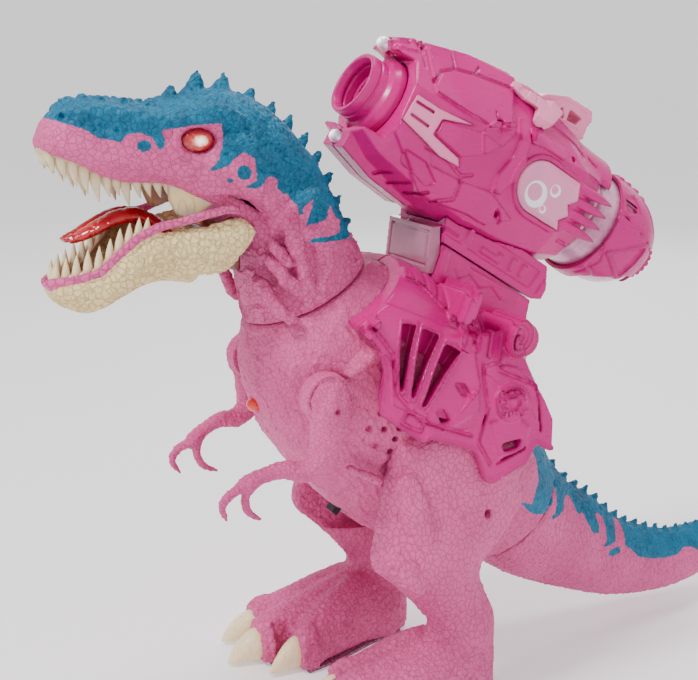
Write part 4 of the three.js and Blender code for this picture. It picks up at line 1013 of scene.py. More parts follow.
# ------------------------------------------------------------------ arms and legs
UPPER_ARM = limb([
    [53, -38, 198, 5, 8], [53, -38, 190, 8, 11], [54, -38, 180, 8.5, 10.5], [55, -41, 168, 7, 8.6],
    [55, -45, 158, 6, 7, -30],
    [54, -54, 154.5, 5.2, 5.6, -75], [53, -64, 157, 4.6, 4.4, -98], [52, -74, 155.5, 4, 3.6, -85],
    [51, -82, 152, 5, 4.2, -70],
    [50, -87, 150, 3, 2.5, -65]])
FINGER_PATHS = [
    ([(51, -84, 151), (53, -92, 149), (53, -97, 143), (52, -94, 134.5)], [2.6, 2.3, 1.9, 0.5]),
    ([(50, -80, 152), (49, -83, 144), (48, -81, 136), (47, -74, 130.5)], [2.8, 2.3, 1.9, 0.5])]


def sculpt_arm():
    clay = Clay((40, -102, 126), (68, -22, 208), 0.6)
    disc = clay.rod_x(SHOULDER, 12.9, 43.8, 54.5)
    clay.add(disc)
    clay.add(loft(UPPER_ARM, 40, 60), 3)
    for path, radii in FINGER_PATHS:
        clay.add(tube(path, radii, 16, 6), 1.6)
    clay.add(together(tube([(58, -44, 176), (60.5, -42, 186), (58, -38, 196)], [1.5, 3.2, 1.5]),
                      tube([(58, -46, 158), (58.6, -42, 166), (59, -40, 174)], [1.2, 2.4, 1.2])), 3)
    rim = np.maximum(np.abs(np.hypot(clay.y - SHOULDER[1], clay.z - SHOULDER[2]) - 11.2) - 0.35,
                     np.abs(clay.x - 54.5) - 0.5)
    clay.cut(rim, 0.5)
    clay.cut(np.hypot(clay.y + 38, clay.z - 186) - 1.6 + np.maximum(0, 60 - clay.x), 0.6)
    mesh = clay.mesh()
    p = mesh[0]
    rings = creases(p, 5.5, (1.6, 0.7, 1.4), 0.16) * 0.4
    relief = -rings + (pebbles(p, 2.4) - 0.5) * 0.35 + clouds(p, 7) * 0.2
    relief *= step(43.8, 46.5, p[:, 0])
    mesh = pressed(mesh, relief)
    blue = np.full(len(p), -5.0)
    make("arm_sculpt_left", mesh, "arm_left", ("arm_left",), {"blue": blue}, material=ARM_SKIN)
    other = flipped(mesh)
    other = (turned_x(other[0], SHOULDER * [-1, 1, 1], 12), other[1], other[2])
    make("arm_sculpt_right", other, "arm_right", ("arm_right",), {"blue": blue}, material=ARM_SKIN)


THIGH = [
    [16, 165, 54, 163, 5, 51], [4, 157, 70, 154, 9, 51], [0, 142, 79, 136, 11.5, 50],
    [-3, 124, 78, 116, 13.5, 50],
    [-7, 108, 66, 100, 16, 50], [-8, 94, 54, 90, 15.5, 51], [4, 82, 50, 80, 14, 51],
    [18, 67, 55, 66, 12, 50],
    [27, 55, 61, 53, 11.5, 50], [26, 44, 62, 40, 11.5, 50], [18, 32, 62, 22, 13, 50],
    [14, 20, 62, 4, 14, 50], [14, 4, 60, 0, 14, 50]]
TOES = [(56, 70, -30, 11.5), (50, 46, -37, 12), (42, 26, -20, 10.5)]
SOLE_TOP = 2.0


def toe(x0, x1, y1, w):
    rows = [[x0, 46, 14, 10, 14], [x0, 30, 21, 11, 21], [(x0 * 2 + x1) / 3, 12, 19, w, 19],
            [(x0 + x1 * 2) / 3, (y1 * 2 + 12) / 3, 13, w, 14.5], [x1, y1 + 5, 11.5, w - 0.5, 13],
            [x1, y1 - 1.5, 10.5, w - 2.5, 10.5]]
    return loft(limb([[*row, 90] for row in rows]), 40, 40)


def sculpt_leg():
    clay = Clay((14, -44, 0), (84, 84, 170), 0.95)
    clay.add(loft(spine(THIGH), 56, 90))
    for row in TOES:
        clay.add(toe(*row), 6)
    muscle = [tube([(58, 4, 142), (61.5, 8, 124), (62, 12, 106)], [2, 4, 2]),
              tube([(60, 0, 98), (62.5, 4, 90), (61, 9, 82)], [3, 4, 3])]
    clay.add(together(*muscle), 11)
    clay.keep(np.where(clay.z > 78, 46 - clay.x, -9.0) + 0 * clay.y, 1.2)
    clay.keep(SOLE_TOP - clay.z, 0.8)
    for _, x1, y1, _ in TOES:
        block = meet(np.abs(clay.x - x1) - 13, np.abs(clay.y - (y1 - 7)) - 5, clay.z - 60)
        clay.cut(block, 0.8)
    screw = np.hypot(clay.y - 51, clay.z - 117) - 2.2
    clay.cut(np.maximum(screw, 58 - clay.x), 1.2)
    mesh = clay.mesh()
    p = mesh[0]
    foot = 1 - step(30, 52, p[:, 2])
    knee = 1 - step(12, 30, np.hypot(p[:, 1] + 2, p[:, 2] - 92))
    long_scales = pebbles(p, 3.0, (1, 1, 2.4))
    round_scales = pebbles(p, 4.2)
    amount = np.clip(foot + knee, 0, 1)
    wrinkles = creases(p, 10, (1, 0.8, 2.2), 0.12) * 0.7 * (1 - amount) + creases(p + 17, 6, (1, 1.2, 0.5),
            0.16) * 0.35 * foot
    relief = (long_scales - 0.5) * 0.5 * (1 - amount) + (round_scales
                                                         - 0.5) * 0.85 * amount - wrinkles + clouds(p,
                                                                 13) * 0.3
    n = normals_of(mesh)
    flat = (n[:, 0] < -0.9) & (p[:, 2] > 80) | (p[:, 2] < SOLE_TOP + 0.8)
    relief = np.where(flat, 0, relief)
    line = np.exp(-((p[:, 0] - 48) / 0.8) ** 2) * step(4, 10, p[:, 2])
    relief -= 0.45 * line
    mesh = pressed(mesh, relief)
    blue = np.full(len(p), -5.0)
    for name, body in (("left", mesh), ("right", flipped(mesh))):
        nodes = ("leg_outer_" + name, "leg_inner_" + name)
        make("leg_sculpt_" + name, body, "leg_" + name, nodes, {"blue": blue}, material=LEG_SKIN)


def make_claws():
    meshes, tips = [], []
    for x0, x1, y1, w in TOES:
        lean = (x1 - x0) / (46 - y1)
        rows = [[x1 - lean * 3, y1 + 2, 10.6, w - 2.9, 9.4], [x1, y1 - 2.2, 10.6, w - 2.8, 9.8],
                [x1 + lean * 4, y1 - 7, 10.2, w - 4.0, 8.6],
                [x1 + lean * 9, y1 - 12, 8.6, w - 5.6, 6.8], [x1 + lean * 14, y1 - 17, 6.0, w - 7.6, 4.4],
                [x1 + lean * 17, y1 - 21, 3.2, 1.0, 1.4]]
        mesh = loft(limb([[*row, 90] for row in rows]), 40, 40)
        p = mesh[0]
        p[:, 2] = np.maximum(p[:, 2], 0.9)
        meshes.append(mesh)
        tips.append(np.clip((y1 + 2 - p[:, 1]) / 22, 0, 1))
    mesh = together(*meshes)
    p = mesh[0]
    mesh = pressed(mesh, -creases(p, 5, (1, 3, 1), 0.2) * 0.2)
    tip = np.concatenate(tips)
    for name, body in (("left", mesh), ("right", flipped(mesh))):
        make("claw_set_" + name, body, "leg_" + name, ("claws_" + name,), {"tip": tip},
             material=CLAW)


# ------------------------------------------------------------------ cannon, in its own frame
ROOF_TO_KEEL = [    # along the bore, then x and height of the roof, shoulder, flank, skirt and keel
    [0, [7, 30], [25, 17], [31, -8], [22, -22], [10, -25]],
    [14, [9, 35.5], [31, 11], [34, -12], [24, -28], [11, -32]],
    [45, [10, 44.5], [34, 12], [34, -15], [27, -33], [13, -38]],
    [75, [11, 49.5], [34, 17], [34, -15], [29, -34], [16, -40]],
    [100, [12, 49.5], [34, 22], [34, -13], [28, -32], [17, -36]],
    [130, [12, 44], [32, 26], [33, -10], [26, -26], [15, -31]],
    [146, [12, 41], [28, 27], [30, -8], [22, -20], [12, -25]]]
INSERT = [(11.7, -9.2), (12.4, 6.6), (27.7, 7), (53.6, 11), (32, 3.5), (31.5, -6), (52, -8.5), (55, -12.7),
          (41, -14)]
TANK_AXIS = 10
BADGE = ring_line((105, 3), 15, 90, 270, 16) + [(129, -11), (126, -6), (131, -1), (127, 4), (132, 9),
                                                (128, 18)]
BUBBLES = ((105, -1, 7.4), (115.5, 6.5, 3.6), (113.5, -5.8, 2.3))
PRONG = [(0, -24), (0, -33.5), (23, -39.6), (49.5, -41.5), (60, -37), (40, -30)]
CRADLE = [(62, -31), (67, -39), (72.5, -49.4), (141.7, -49.4), (148, -46.5), (147.6, -39.9), (141, -29),
          (100, -28)]
POST = [(34, 229), (43, 253), (43.4, 258.6), (100.6, 222.7), (96, 200), (20, 200), (22, 229)]
POST_WINDOW = [(34.8, 243), (38.8, 243), (42.6, 253.4), (42.9, 259), (43, 268), (38, 268)]


def hull(sections):
    rings = []
    for y, *half in sections:
        rings.append([(x, y, z) for x, z in half] + [(-x, y, z) for x, z in half[::-1]])
    return skin_rings(np.array(rings, float))


def swollen_hull(by):
    """The cannon's outer shape, larger by this much on its sides, roof and keel."""
    sections = []
    for u, *half in ROOF_TO_KEEL:
        sections.append([u] + [[x + by, v + (by if v > 0 else -by)] for x, v in half])
    return hull(sections)


def side_grid(clay):
    shape = (1, clay.shape[1], clay.shape[2])
    return np.broadcast_to(clay.y, shape), np.broadcast_to(clay.z, shape)


def scratch(clay, lines, width, depth, where=None):
    """Engraves side-view lines to a depth below the surface."""
    y, z = side_grid(clay)
    away = np.minimum.reduce([line_distance(y, z, line) for line in lines]) - width / 2
    away = np.maximum(away, -clay.field - depth)
    clay.cut(away if where is None else np.maximum(away, where), 0.4)


def sink(clay, outlines, depth, where=None, soft=0.5):
    y, z = side_grid(clay)
    away = -np.maximum.reduce([inside(y, z, o) for o in outlines])
    away = np.maximum(away, -clay.field - depth)
    clay.cut(away if where is None else np.maximum(away, where), soft)


def raise_up(clay, outlines, height, where=None, soft=0.5):
    y, z = side_grid(clay)
    away = -np.maximum.reduce([inside(y, z, o) for o in outlines])
    away = np.maximum(away, clay.field - height)
    clay.add(away if where is None else np.maximum(away, where), soft)


def cannon_piece(name, clay, node, body="body", material=None):
    make(name, placed_in_cannon(clay), body, node, material=material or MAGENTA_GLOSS)


def rod_u(clay, radius, u0, u1, axis_height=0.0, x=0.0):
    around = np.hypot(clay.x - x, clay.z - axis_height) - radius
    return meet(around, u0 - clay.y, clay.y - u1)


def badge_print():
    """Pale plastic with a white print where the attribute mark is positive."""
    s = Shader("badge_print", roughness=0.34, coat=0.15)
    pale = s.mix(s.range(s.noise(40), 0.3, 0.7), PALE, (0.66, 0.28, 0.42))
    # Painted shade: hollows found by pointiness darken the pale plastic.
    tone = s.mix(s.cavity(0.4, 0.5), (0.34, 0.10, 0.18), pale)
    s.colour(s.mix(s.range(s.attribute("mark"), -0.12, 0.12), tone, (0.9, 0.88, 0.9)))
    s.bump(s.noise(22), 0.05, 0.6)
    return s.material


def placed_in_cannon(clay):
    points, triangles, quads = clay.mesh()
    return from_cannon(points), triangles, quads


def make_cannon():
    clay = Clay((-1, -6, -46), (38, 160, 56), 0.75)
    clay.add(hull(ROOF_TO_KEEL))
    clay.add(slab([(-3, 28), (8, 36), (46, 46.6), (68, 50.4), (68.5, 40), (0, 24)], -8.5, 8.5), 1.2)
    clay.add(slab(PRONG, -12, 12), 1.2)
    hump = meet(np.hypot(clay.x, clay.z - 20) - 26, 130 - clay.y, clay.y - 156)
    clay.add(meet(hump, np.abs(clay.x) - 24, -10 - clay.z), 1.5)
    raise_up(clay, [[(17, 38), (24, 14), (58, 15), (73, 24), (72, 52), (40, 46)]], 1.8)
    raise_up(clay, [[(56, 12), (63, 2), (72, 10), (76, 20), (70, 24), (60, 18)]], 1.6)
    raise_up(clay, [[(9, -8), (12, -16), (46, -36), (72, -31), (88, -30), (100, -20), (78, -14), (60, -18),
                     (40, -20), (24, -6)]], 1.7)
    raise_up(clay, [[(33, 3), (33, -5.5), (52, -8), (62, -1.5), (70, 9), (56, 9)]], 1.8)
    raise_up(clay, [ring_line((105, 3), 18, 90, 270, 16) + [(126, -14), (133, -10), (133, 19), (126, 21)]],
             1.6)
    raise_up(clay, [[(72, 30), (78, 30), (80, 8), (77, -4), (79, -14), (84, -13), (87, -4), (88, 10),
                     (84, 30)]], 2.4)
    raise_up(clay, [[(84, 28), (112, 30), (112, 23), (96, 22), (88, 20)]], 1.7)
    raise_up(clay, [[(0, 32), (10, 36), (12, 30), (2, 27)]], 0.9)
    scratch(clay, [[(30, 42), (34, 33), (26, 27), (22, 18)], [(34, 33), (46, 37), (70, 43)],
                   [(46, 37), (48, 42)], [(62, 24), (66, 14)]], 1.5, 1.3)
    scratch(clay, [[(30, -14), (44, -12), (58, -16), (64, -12)], [(58, -16), (62, -28), (54, -34)],
                   [(88, -20), (95, -25)]], 1.5, 1.3)
    scratch(clay, [[(135, 36), (142, 34)], [(133, 26), (146, 25)], [(136, -14), (145, -13)],
                   [(97, 39), (124, 38), (130, 35)], [(14, 33), (17, 24)]], 1.4, 1.2)
    sink(clay, [[(22, -20), (26, -26), (44, -30), (48, -26), (36, -20)]], 1.6)
    for u in (22, 32, 42):
        sink(clay, [[(u, -36.5), (u + 2.2, -36.5), (u + 7.2, -31.5), (u + 5, -31.5)]], 2.0)
    slots = np.minimum(np.abs(clay.y - 7) - 1, np.minimum(np.abs(clay.y - 11) - 1, np.abs(clay.y - 15) - 1))
    clay.cut(meet(slots, 4.2 - np.abs(clay.x), np.abs(clay.x) - 9.5, -clay.field - 1.2, 20 - clay.z), 0.3)
    clay.cut(rod_u(clay, 22.9, -20, 28), 1.0)
    clay.cut(meet(clay.y - 11, clay.z - 24, -20 - clay.z) + 0 * clay.x, 1.2)
    clay.cut(rod_u(clay, 29.3, 138, 170, TANK_AXIS), 0.6)
    clay.cut(rod_u(clay, 3.9, -10, 6, 26.5), 0.8)
    clay.cut(rod_u(clay, 3.9, -10, 6, -28.5), 0.8)
    y, z = side_grid(clay)
    for outline in (INSERT, BADGE):
        clay.cut(np.maximum(-inside(y, z, outline) - 0.2, 32.9 - np.abs(clay.x)), 0.3)
    claws = [tube([(30, 122, v), (32.6, 134, v + 1), (33, 147, v + 2.2), (31.4, 157.5, v + 3.2)],
                  [2.6, 3.1, 2.4, 0.4], 14, 6) for v in (15.5, 8, 0.5, -7)]
    clay.add(together(*claws), 1.2)
    for u, v in ((90, -22), (66, 20), (120, 28)):
        clay.cut(np.maximum(np.hypot(clay.y - u, clay.z - v) - 1.7, -clay.field - 2.2), 0.4)
    clay.keep(0.15 - clay.x, 0.4)
    mesh = placed_in_cannon(clay)
    for name, half in (("left", mesh), ("right", flipped(mesh))):
        make("cannon_shell_" + name, half, "body", ("cannon_" + name,), material=MAGENTA_GLOSS)


def make_inlays():
    paint = badge_print()
    slots = [[(13.7, 2.3), (13.7, 3.7), (26.2, 4.2), (26.2, 2.8)],
             [(14.3, -4.7), (14.3, -3.3), (27.3, -3.5), (27.3, -4.9)]]
    for name, side in (("left", 1), ("right", -1)):
        plate = Clay((30, 8, -18), (38, 58, 14), 0.5)
        plate.add(slab([(12.0, -8.9), (12.7, 6.3), (27.7, 6.7), (51.5, 10.3), (32, 3.2), (31.2, -6.3),
                        (51.5, -8.9), (54, -12.5), (41, -13.7)], 32.9, 34.3))
        sink(plate, slots, 0.9)
        mesh = placed_in_cannon(plate)
        make("side_inlay_" + name, mesh if side > 0 else flipped(mesh), "body", ("side_insert_" + name,),
             material=PALE_SATIN)
        plate = Clay((30, 86, -18), (38, 136, 24), 0.45)
        y, z = side_grid(plate)
        rim = inside(y, z, BADGE)
        plate.add(meet(-rim + 0.25, 32.9 - plate.x, plate.x - 34.6), 0)
        plate.add(meet(-rim + 0.25, rim - 2.0, 33 - plate.x, plate.x - 35.3), 0.6)
        mesh = plate.mesh()
        p = mesh[0]
        rings = []
        for u, v, r in BUBBLES:
            shine = np.hypot(p[:, 1] - u + r * 0.18, p[:, 2] - v - r * 0.1)
            rings.append(np.minimum(r - np.hypot(p[:, 1] - u, p[:, 2] - v), shine - r * 0.66))
        hollow = np.maximum.reduce(rings)
        mesh = (from_cannon(p), mesh[1], mesh[2])
        make("badge_plate_" + name, mesh if side > 0 else flipped(mesh), "body", ("badge_" + name,),
             {"mark": hollow}, material=paint)


def make_muzzle():
    clay = Clay((-26, -12, -26), (26, 42, 26), 0.6)
    u, r = clay.y, np.hypot(clay.x, clay.z)
    outer = np.interp(u, [-8, -5.5, 3, 5, 8, 20.5, 23, 25], [17.0, 17.6, 17.6, 20.5, 22.3, 22.3, 20, 19])
    inner = np.interp(u, [-8, -6.2, -4, 2, 10, 12, 40], [15.2, 14.6, 13.8, 13.5, 13.5, 13.5, 13.5])
    wall = meet(r - outer, inner - r, -7.4 - u, u - 38)
    clay.add(wall + 0 * clay.x)
    for place in (-1.5, 12.5, 17.0):
        clay.cut(np.maximum(np.abs(u - place) - 0.45, -clay.field - 0.7), 0.4)
    angle = np.degrees(np.arctan2(clay.x, clay.z))
    notch = np.abs(((angle + 15) % 30) - 15) * math.pi / 180 * 22
    clay.cut(meet(notch - 1.0, np.abs(u - 14.7) - 1.6, -clay.field - 0.6), 0.3)
    cannon_piece("muzzle_barrel", clay, ("barrel",))
    clay = Clay((-15, 1, -15), (15, 11, 15), 0.4)
    u, r = clay.y, np.hypot(clay.x, clay.z)
    clay.add(meet(r - 13.1, 9.2 - r, 3.2 - u, u - 8.8) * np.ones(clay.shape))
    angle = np.arctan2(clay.x, clay.z)
    teeth = np.abs(((np.degrees(angle) + 7.5) % 15) - 7.5) * math.pi / 180 * 9.6 - 0.55
    clay.cut(meet(teeth, r - 10.6, -clay.field - 1.2), 0.3)
    cannon_piece("bubble_wand_ring", clay, ("bubble_ring",))


def make_lamps():
    lens = Shader("lamp_lens", roughness=0.05, coat=1.0, transmission=0.35)
    tone = lens.ramp(lens.math("ADD", lens.attribute("middle"),
            lens.math("MULTIPLY", lens.noise(1.2, 2.0), 0.2)), (0.2, (1, 1, 1)), (0.8, (0.86, 0.80, 0.88)),
            (1.0, (0.70, 0.55, 0.66)))
    lens.colour(tone)
    lens.wire(tone, lens.bsdf.inputs["Emission Color"])
    lens.wire(lens.range(lens.attribute("middle"), 0.1, 0.9, 2.4, 0.15),
              lens.bsdf.inputs["Emission Strength"])
    lens.bump(lens.cells(1.0), 0.25, 0.8)
    for name, v, u in (("lamp_upper", 26.5, -3.4), ("lamp_lower", -28.5, -2.2)):
        rows = [[0, u - 2.2, v, 0.3, 0, 0, 0, 0, 0.3], [0, u - 1.9, v, 1.6, 0, 0, 0, 0, 1.6],
                [0, u - 0.8, v, 2.9, 0, 0, 0, 0, 2.9],
                [0, u + 0.8, v, 3.5, 0, 0, 0, 0, 3.5], [0, u + 4.5, v, 3.5, 0, 0, 0, 0, 3.5]]
        mesh = loft(rows, 36, 30)
        middle = np.hypot(mesh[0][:, 0], mesh[0][:, 2] - v) / 3.5
        ring = np.abs(np.hypot(mesh[0][:, 0], mesh[0][:, 2] - v) - 2.2)
        mesh = pressed(mesh, -0.25 * np.exp(-(ring / 0.35) ** 2))
        make(name + "_lens", (from_cannon(mesh[0]), mesh[1], mesh[2]), "body", (name,),
             {"middle": middle}, material=lens.material)
    red = Shader("chest_lens", roughness=0.08, coat=1.0)
    red.colour(red.mix(red.range(red.noise(1.5), 0.3, 0.7), (0.75, 0.02, 0.015), (0.45, 0.008, 0.008)))
    red.bsdf.inputs["Emission Strength"].default_value = 0.35
    red.bsdf.inputs["Emission Color"].default_value = (0.8, 0.03, 0.02, 1)
    red.bump(red.cells(1.2), 0.2, 0.7)
    mesh = ball((0, -56.6, 176), (3.7, 4.6, 3.7), 40, 30)
    make("chest_lens", pressed(mesh, clouds(mesh[0], 3) * 0.1), "body", ("chest_lamp",),
         material=red.material)


TANK = [[138.5, 20], [141, 26.5], [155, 28.5], [175, 29.5], [192, 27.5], [205, 20], [211, 12]]


def tank_radius(u):
    row = hermite([[a, b] for a, b in TANK], np.linspace(0, 1, 200))
    return np.interp(u, row[:, 0], row[:, 1])


def make_tank():
    frost = Shader("frosted_tank", roughness=0.3, coat=0.2, transmission=0.25, subsurface=0.1)
    body = frost.mix(frost.range(frost.noise(2.5), 0.4, 0.65), (0.72, 0.26, 0.46), (0.60, 0.17, 0.36))
    # Painted shade: hollows found by pointiness darken the frosted pink.
    frost.colour(frost.mix(frost.cavity(0.4, 0.5), (0.4, 0.15, 0.26), body))
    frost.bump(frost.math("ADD", frost.noise(12), frost.math("MULTIPLY", frost.noise(1.2, 2.0), 0.2)),
               0.12, 0.8)
    clay = Clay((-32, 136, -22), (32, 216, 42), 0.8)
    u, r = clay.y, np.hypot(clay.x, clay.z - TANK_AXIS)
    clay.add(meet((r - tank_radius(u)) * 0.9, 139 - u, u - 210.5) * np.ones(clay.shape))
    clay.cut(np.maximum(r - 9.35, 195 - u) * np.ones(clay.shape), 0.5)
    clay.cut(np.maximum(np.abs(u - 150.5) - 0.7, -clay.field - 0.8), 0.4)
    clay.cut(np.maximum(np.abs(u - 143.5) - 0.6, -clay.field - 0.7), 0.4)
    cannon_piece("tank_body", clay, ("solution_tank",), material=frost.material)

    clay = Clay((-36, 160, -26), (36, 212, 46), 0.8)
    u, x, v = clay.y, clay.x, clay.z - TANK_AXIS
    r = np.hypot(x, v)
    shell = meet(r - tank_radius(u) - 3.0, tank_radius(u) + 0.5 - r, 165.3 - u, u - 204.6)
    clay.add(shell * np.ones(clay.shape))
    c, s = math.cos(math.radians(30)), math.sin(math.radians(30))
    uu, vv = (u - 196) * c + (clay.z + 26) * s, -(u - 196) * s + (clay.z + 26) * c
    clay.cut(np.maximum(np.abs(uu) - 15, np.abs(vv) - 15) * np.ones(clay.shape), 1)
    y, z = side_grid(clay)
    flank = 12 - np.abs(clay.x)
    for tri in ([(171, -4), (195, 14), (192, -12)],):
        ring = np.abs(inside(y, z, tri)) - 1.1
        clay.add(meet(ring, clay.field - 1.1, flank), 0.4)
        clay.cut(meet(-inside(y, z, tri) + 1.4, -clay.field - 0.8, flank), 0.4)
    sink(clay, [[(167, 30), (176, 34), (181, 26), (171, 21)]], 1.0, flank)
    scratch(clay, [[(166, 20), (204, 12)], [(168, -14), (186, -20)], [(184, 38), (200, 22)],
                   [(166, -2), (172, -10), (170, -20)]], 1.1, 0.9, flank)
    top = np.maximum(np.abs(clay.x) - 9, 20 - clay.z)
    for place in (172, 179, 186, 193):
        clay.add(meet(np.abs(u - place) - 1.7, clay.field - 1.6, top), 0.6)
    cannon_piece("tank_shroud", clay, ("tank_guard",))

    clay = Clay((-16, 200, -6), (16, 222, 26), 0.5)
    u, r = clay.y, np.hypot(clay.x, clay.z - TANK_AXIS)
    clay.add(meet(r - 8.9, 202 - u, u - 213) * np.ones(clay.shape))
    clay.add(meet(r - 13.3, 211.5 - u, u - 215.9) * np.ones(clay.shape), 0.5)
    angle = np.degrees(np.arctan2(clay.x, clay.z - TANK_AXIS))
    flute = np.abs(((angle + 9) % 18) - 9) * math.pi / 180 * 13.3
    clay.cut(meet(flute - 0.7, 12.2 - r, 211 - u), 0.6)
    clay.add(meet(np.abs(clay.x) - 1.6, r - 10.5, 215 - u, u - 217.8), 0.6)
    cannon_piece("tank_screw_cap", clay, ("tank_cap",), body="tank_cap")


def make_sight():
    clay = Clay((-28, 66, 26), (28, 138, 66), 0.6)
    outline = [(71, 41), (74, 50.5), (84, 52.5), (95.7, 53), (98.5, 56), (112, 62.2), (131, 63.6),
               (134, 58.2), (133, 54.5), (134, 46.8), (124, 40), (80, 40)]
    clay.add(slab(outline, -8, 8))
    legs = both(slab([(100, 54), (90, 34), (95, 32), (110, 52)], 8, 27))
    near = clay.level(swollen_hull(2.9))
    legs = np.maximum(clay.level(legs), near)
    pads = both(slab([(69, 44), (71, 48), (92, 49), (101, 45), (96, 36.5), (90, 30), (86.5, 32.8),
                      (88.4, 41.5), (78, 41)], 7, 27))
    clay.add(np.maximum(clay.level(pads), near), 0.6)
    saddle = meet(near, np.abs(clay.x) - 11.5, np.abs(clay.y - 104) - 6.5)
    clay.add(legs, 0.8)
    clay.add(saddle, 0.8)
    clay.cut(slab([(109.5, 50), (111.5, 55), (116, 50)], -20, 20), 0.3)
    clay.cut(slab([(117, 56.5), (127, 56), (125.5, 51.5), (118, 50.5)], -20, 20), 0.3)
    clay.cut(np.maximum(np.hypot(clay.y - 93, clay.z - 49.5) - 1.5, np.abs(clay.x) - 20), 0.3)
    sink(clay, [[(73, 44), (77, 48.4), (83, 50.4), (80, 44)]], 0.8)
    scratch(clay, [[(97, 51.5), (110, 59), (129, 60)], [(110, 48), (128, 49)], [(86, 43), (89, 51.5)]],
            0.9, 0.6)
    clay.cut(swollen_hull(0.35), 0)
    clay.cut(np.maximum(np.hypot(clay.x, clay.z - 20) - 26.4, 129.5 - clay.y), 0)
    cannon_piece("sight_frame", clay, ("sight",), material=PALE_SATIN)


# ------------------------------------------------------------------ saddle, cradle and post
SADDLE = [(-34, 300), (-23, 262), (-20, 243), (-24, 235), (-22, 225), (-11, 215), (-7, 203), (-10, 184),
          (-9, 181), (15, 164),
          (19, 166), (46, 155), (53, 137), (58, 135), (79, 143), (85, 153), (94, 148), (130, 150),
          (130, 300)]
VENTS = [[(3, 226), (11, 224), (3, 193), (1, 194)], [(15, 222), (25, 217), (9, 189), (7, 190)],
         [(29, 213), (38, 208), (15, 184), (13, 185)]]


def saddle_solid(clay):
    clay.add(loft(spine(TORSO, 8.5, 12.5), 72, 90))
    clay.add(clay.rod_x((0, 79, 208), 9.5, 22.5, 54.5), 1.5)
    skirt = np.array([(50, 173.5), (64.2, 173.5), (64.2, 130), (67.5, 130), (67.5, 178), (57, 214),
                      (50, 214)])
    away = -inside(clay.x + 0 * clay.z, clay.z + 0 * clay.x, skirt)
    clay.add(meet(away, 18 - clay.y, clay.y - 96 + 0.5 * np.maximum(clay.z - 165, 0)), 2.5)


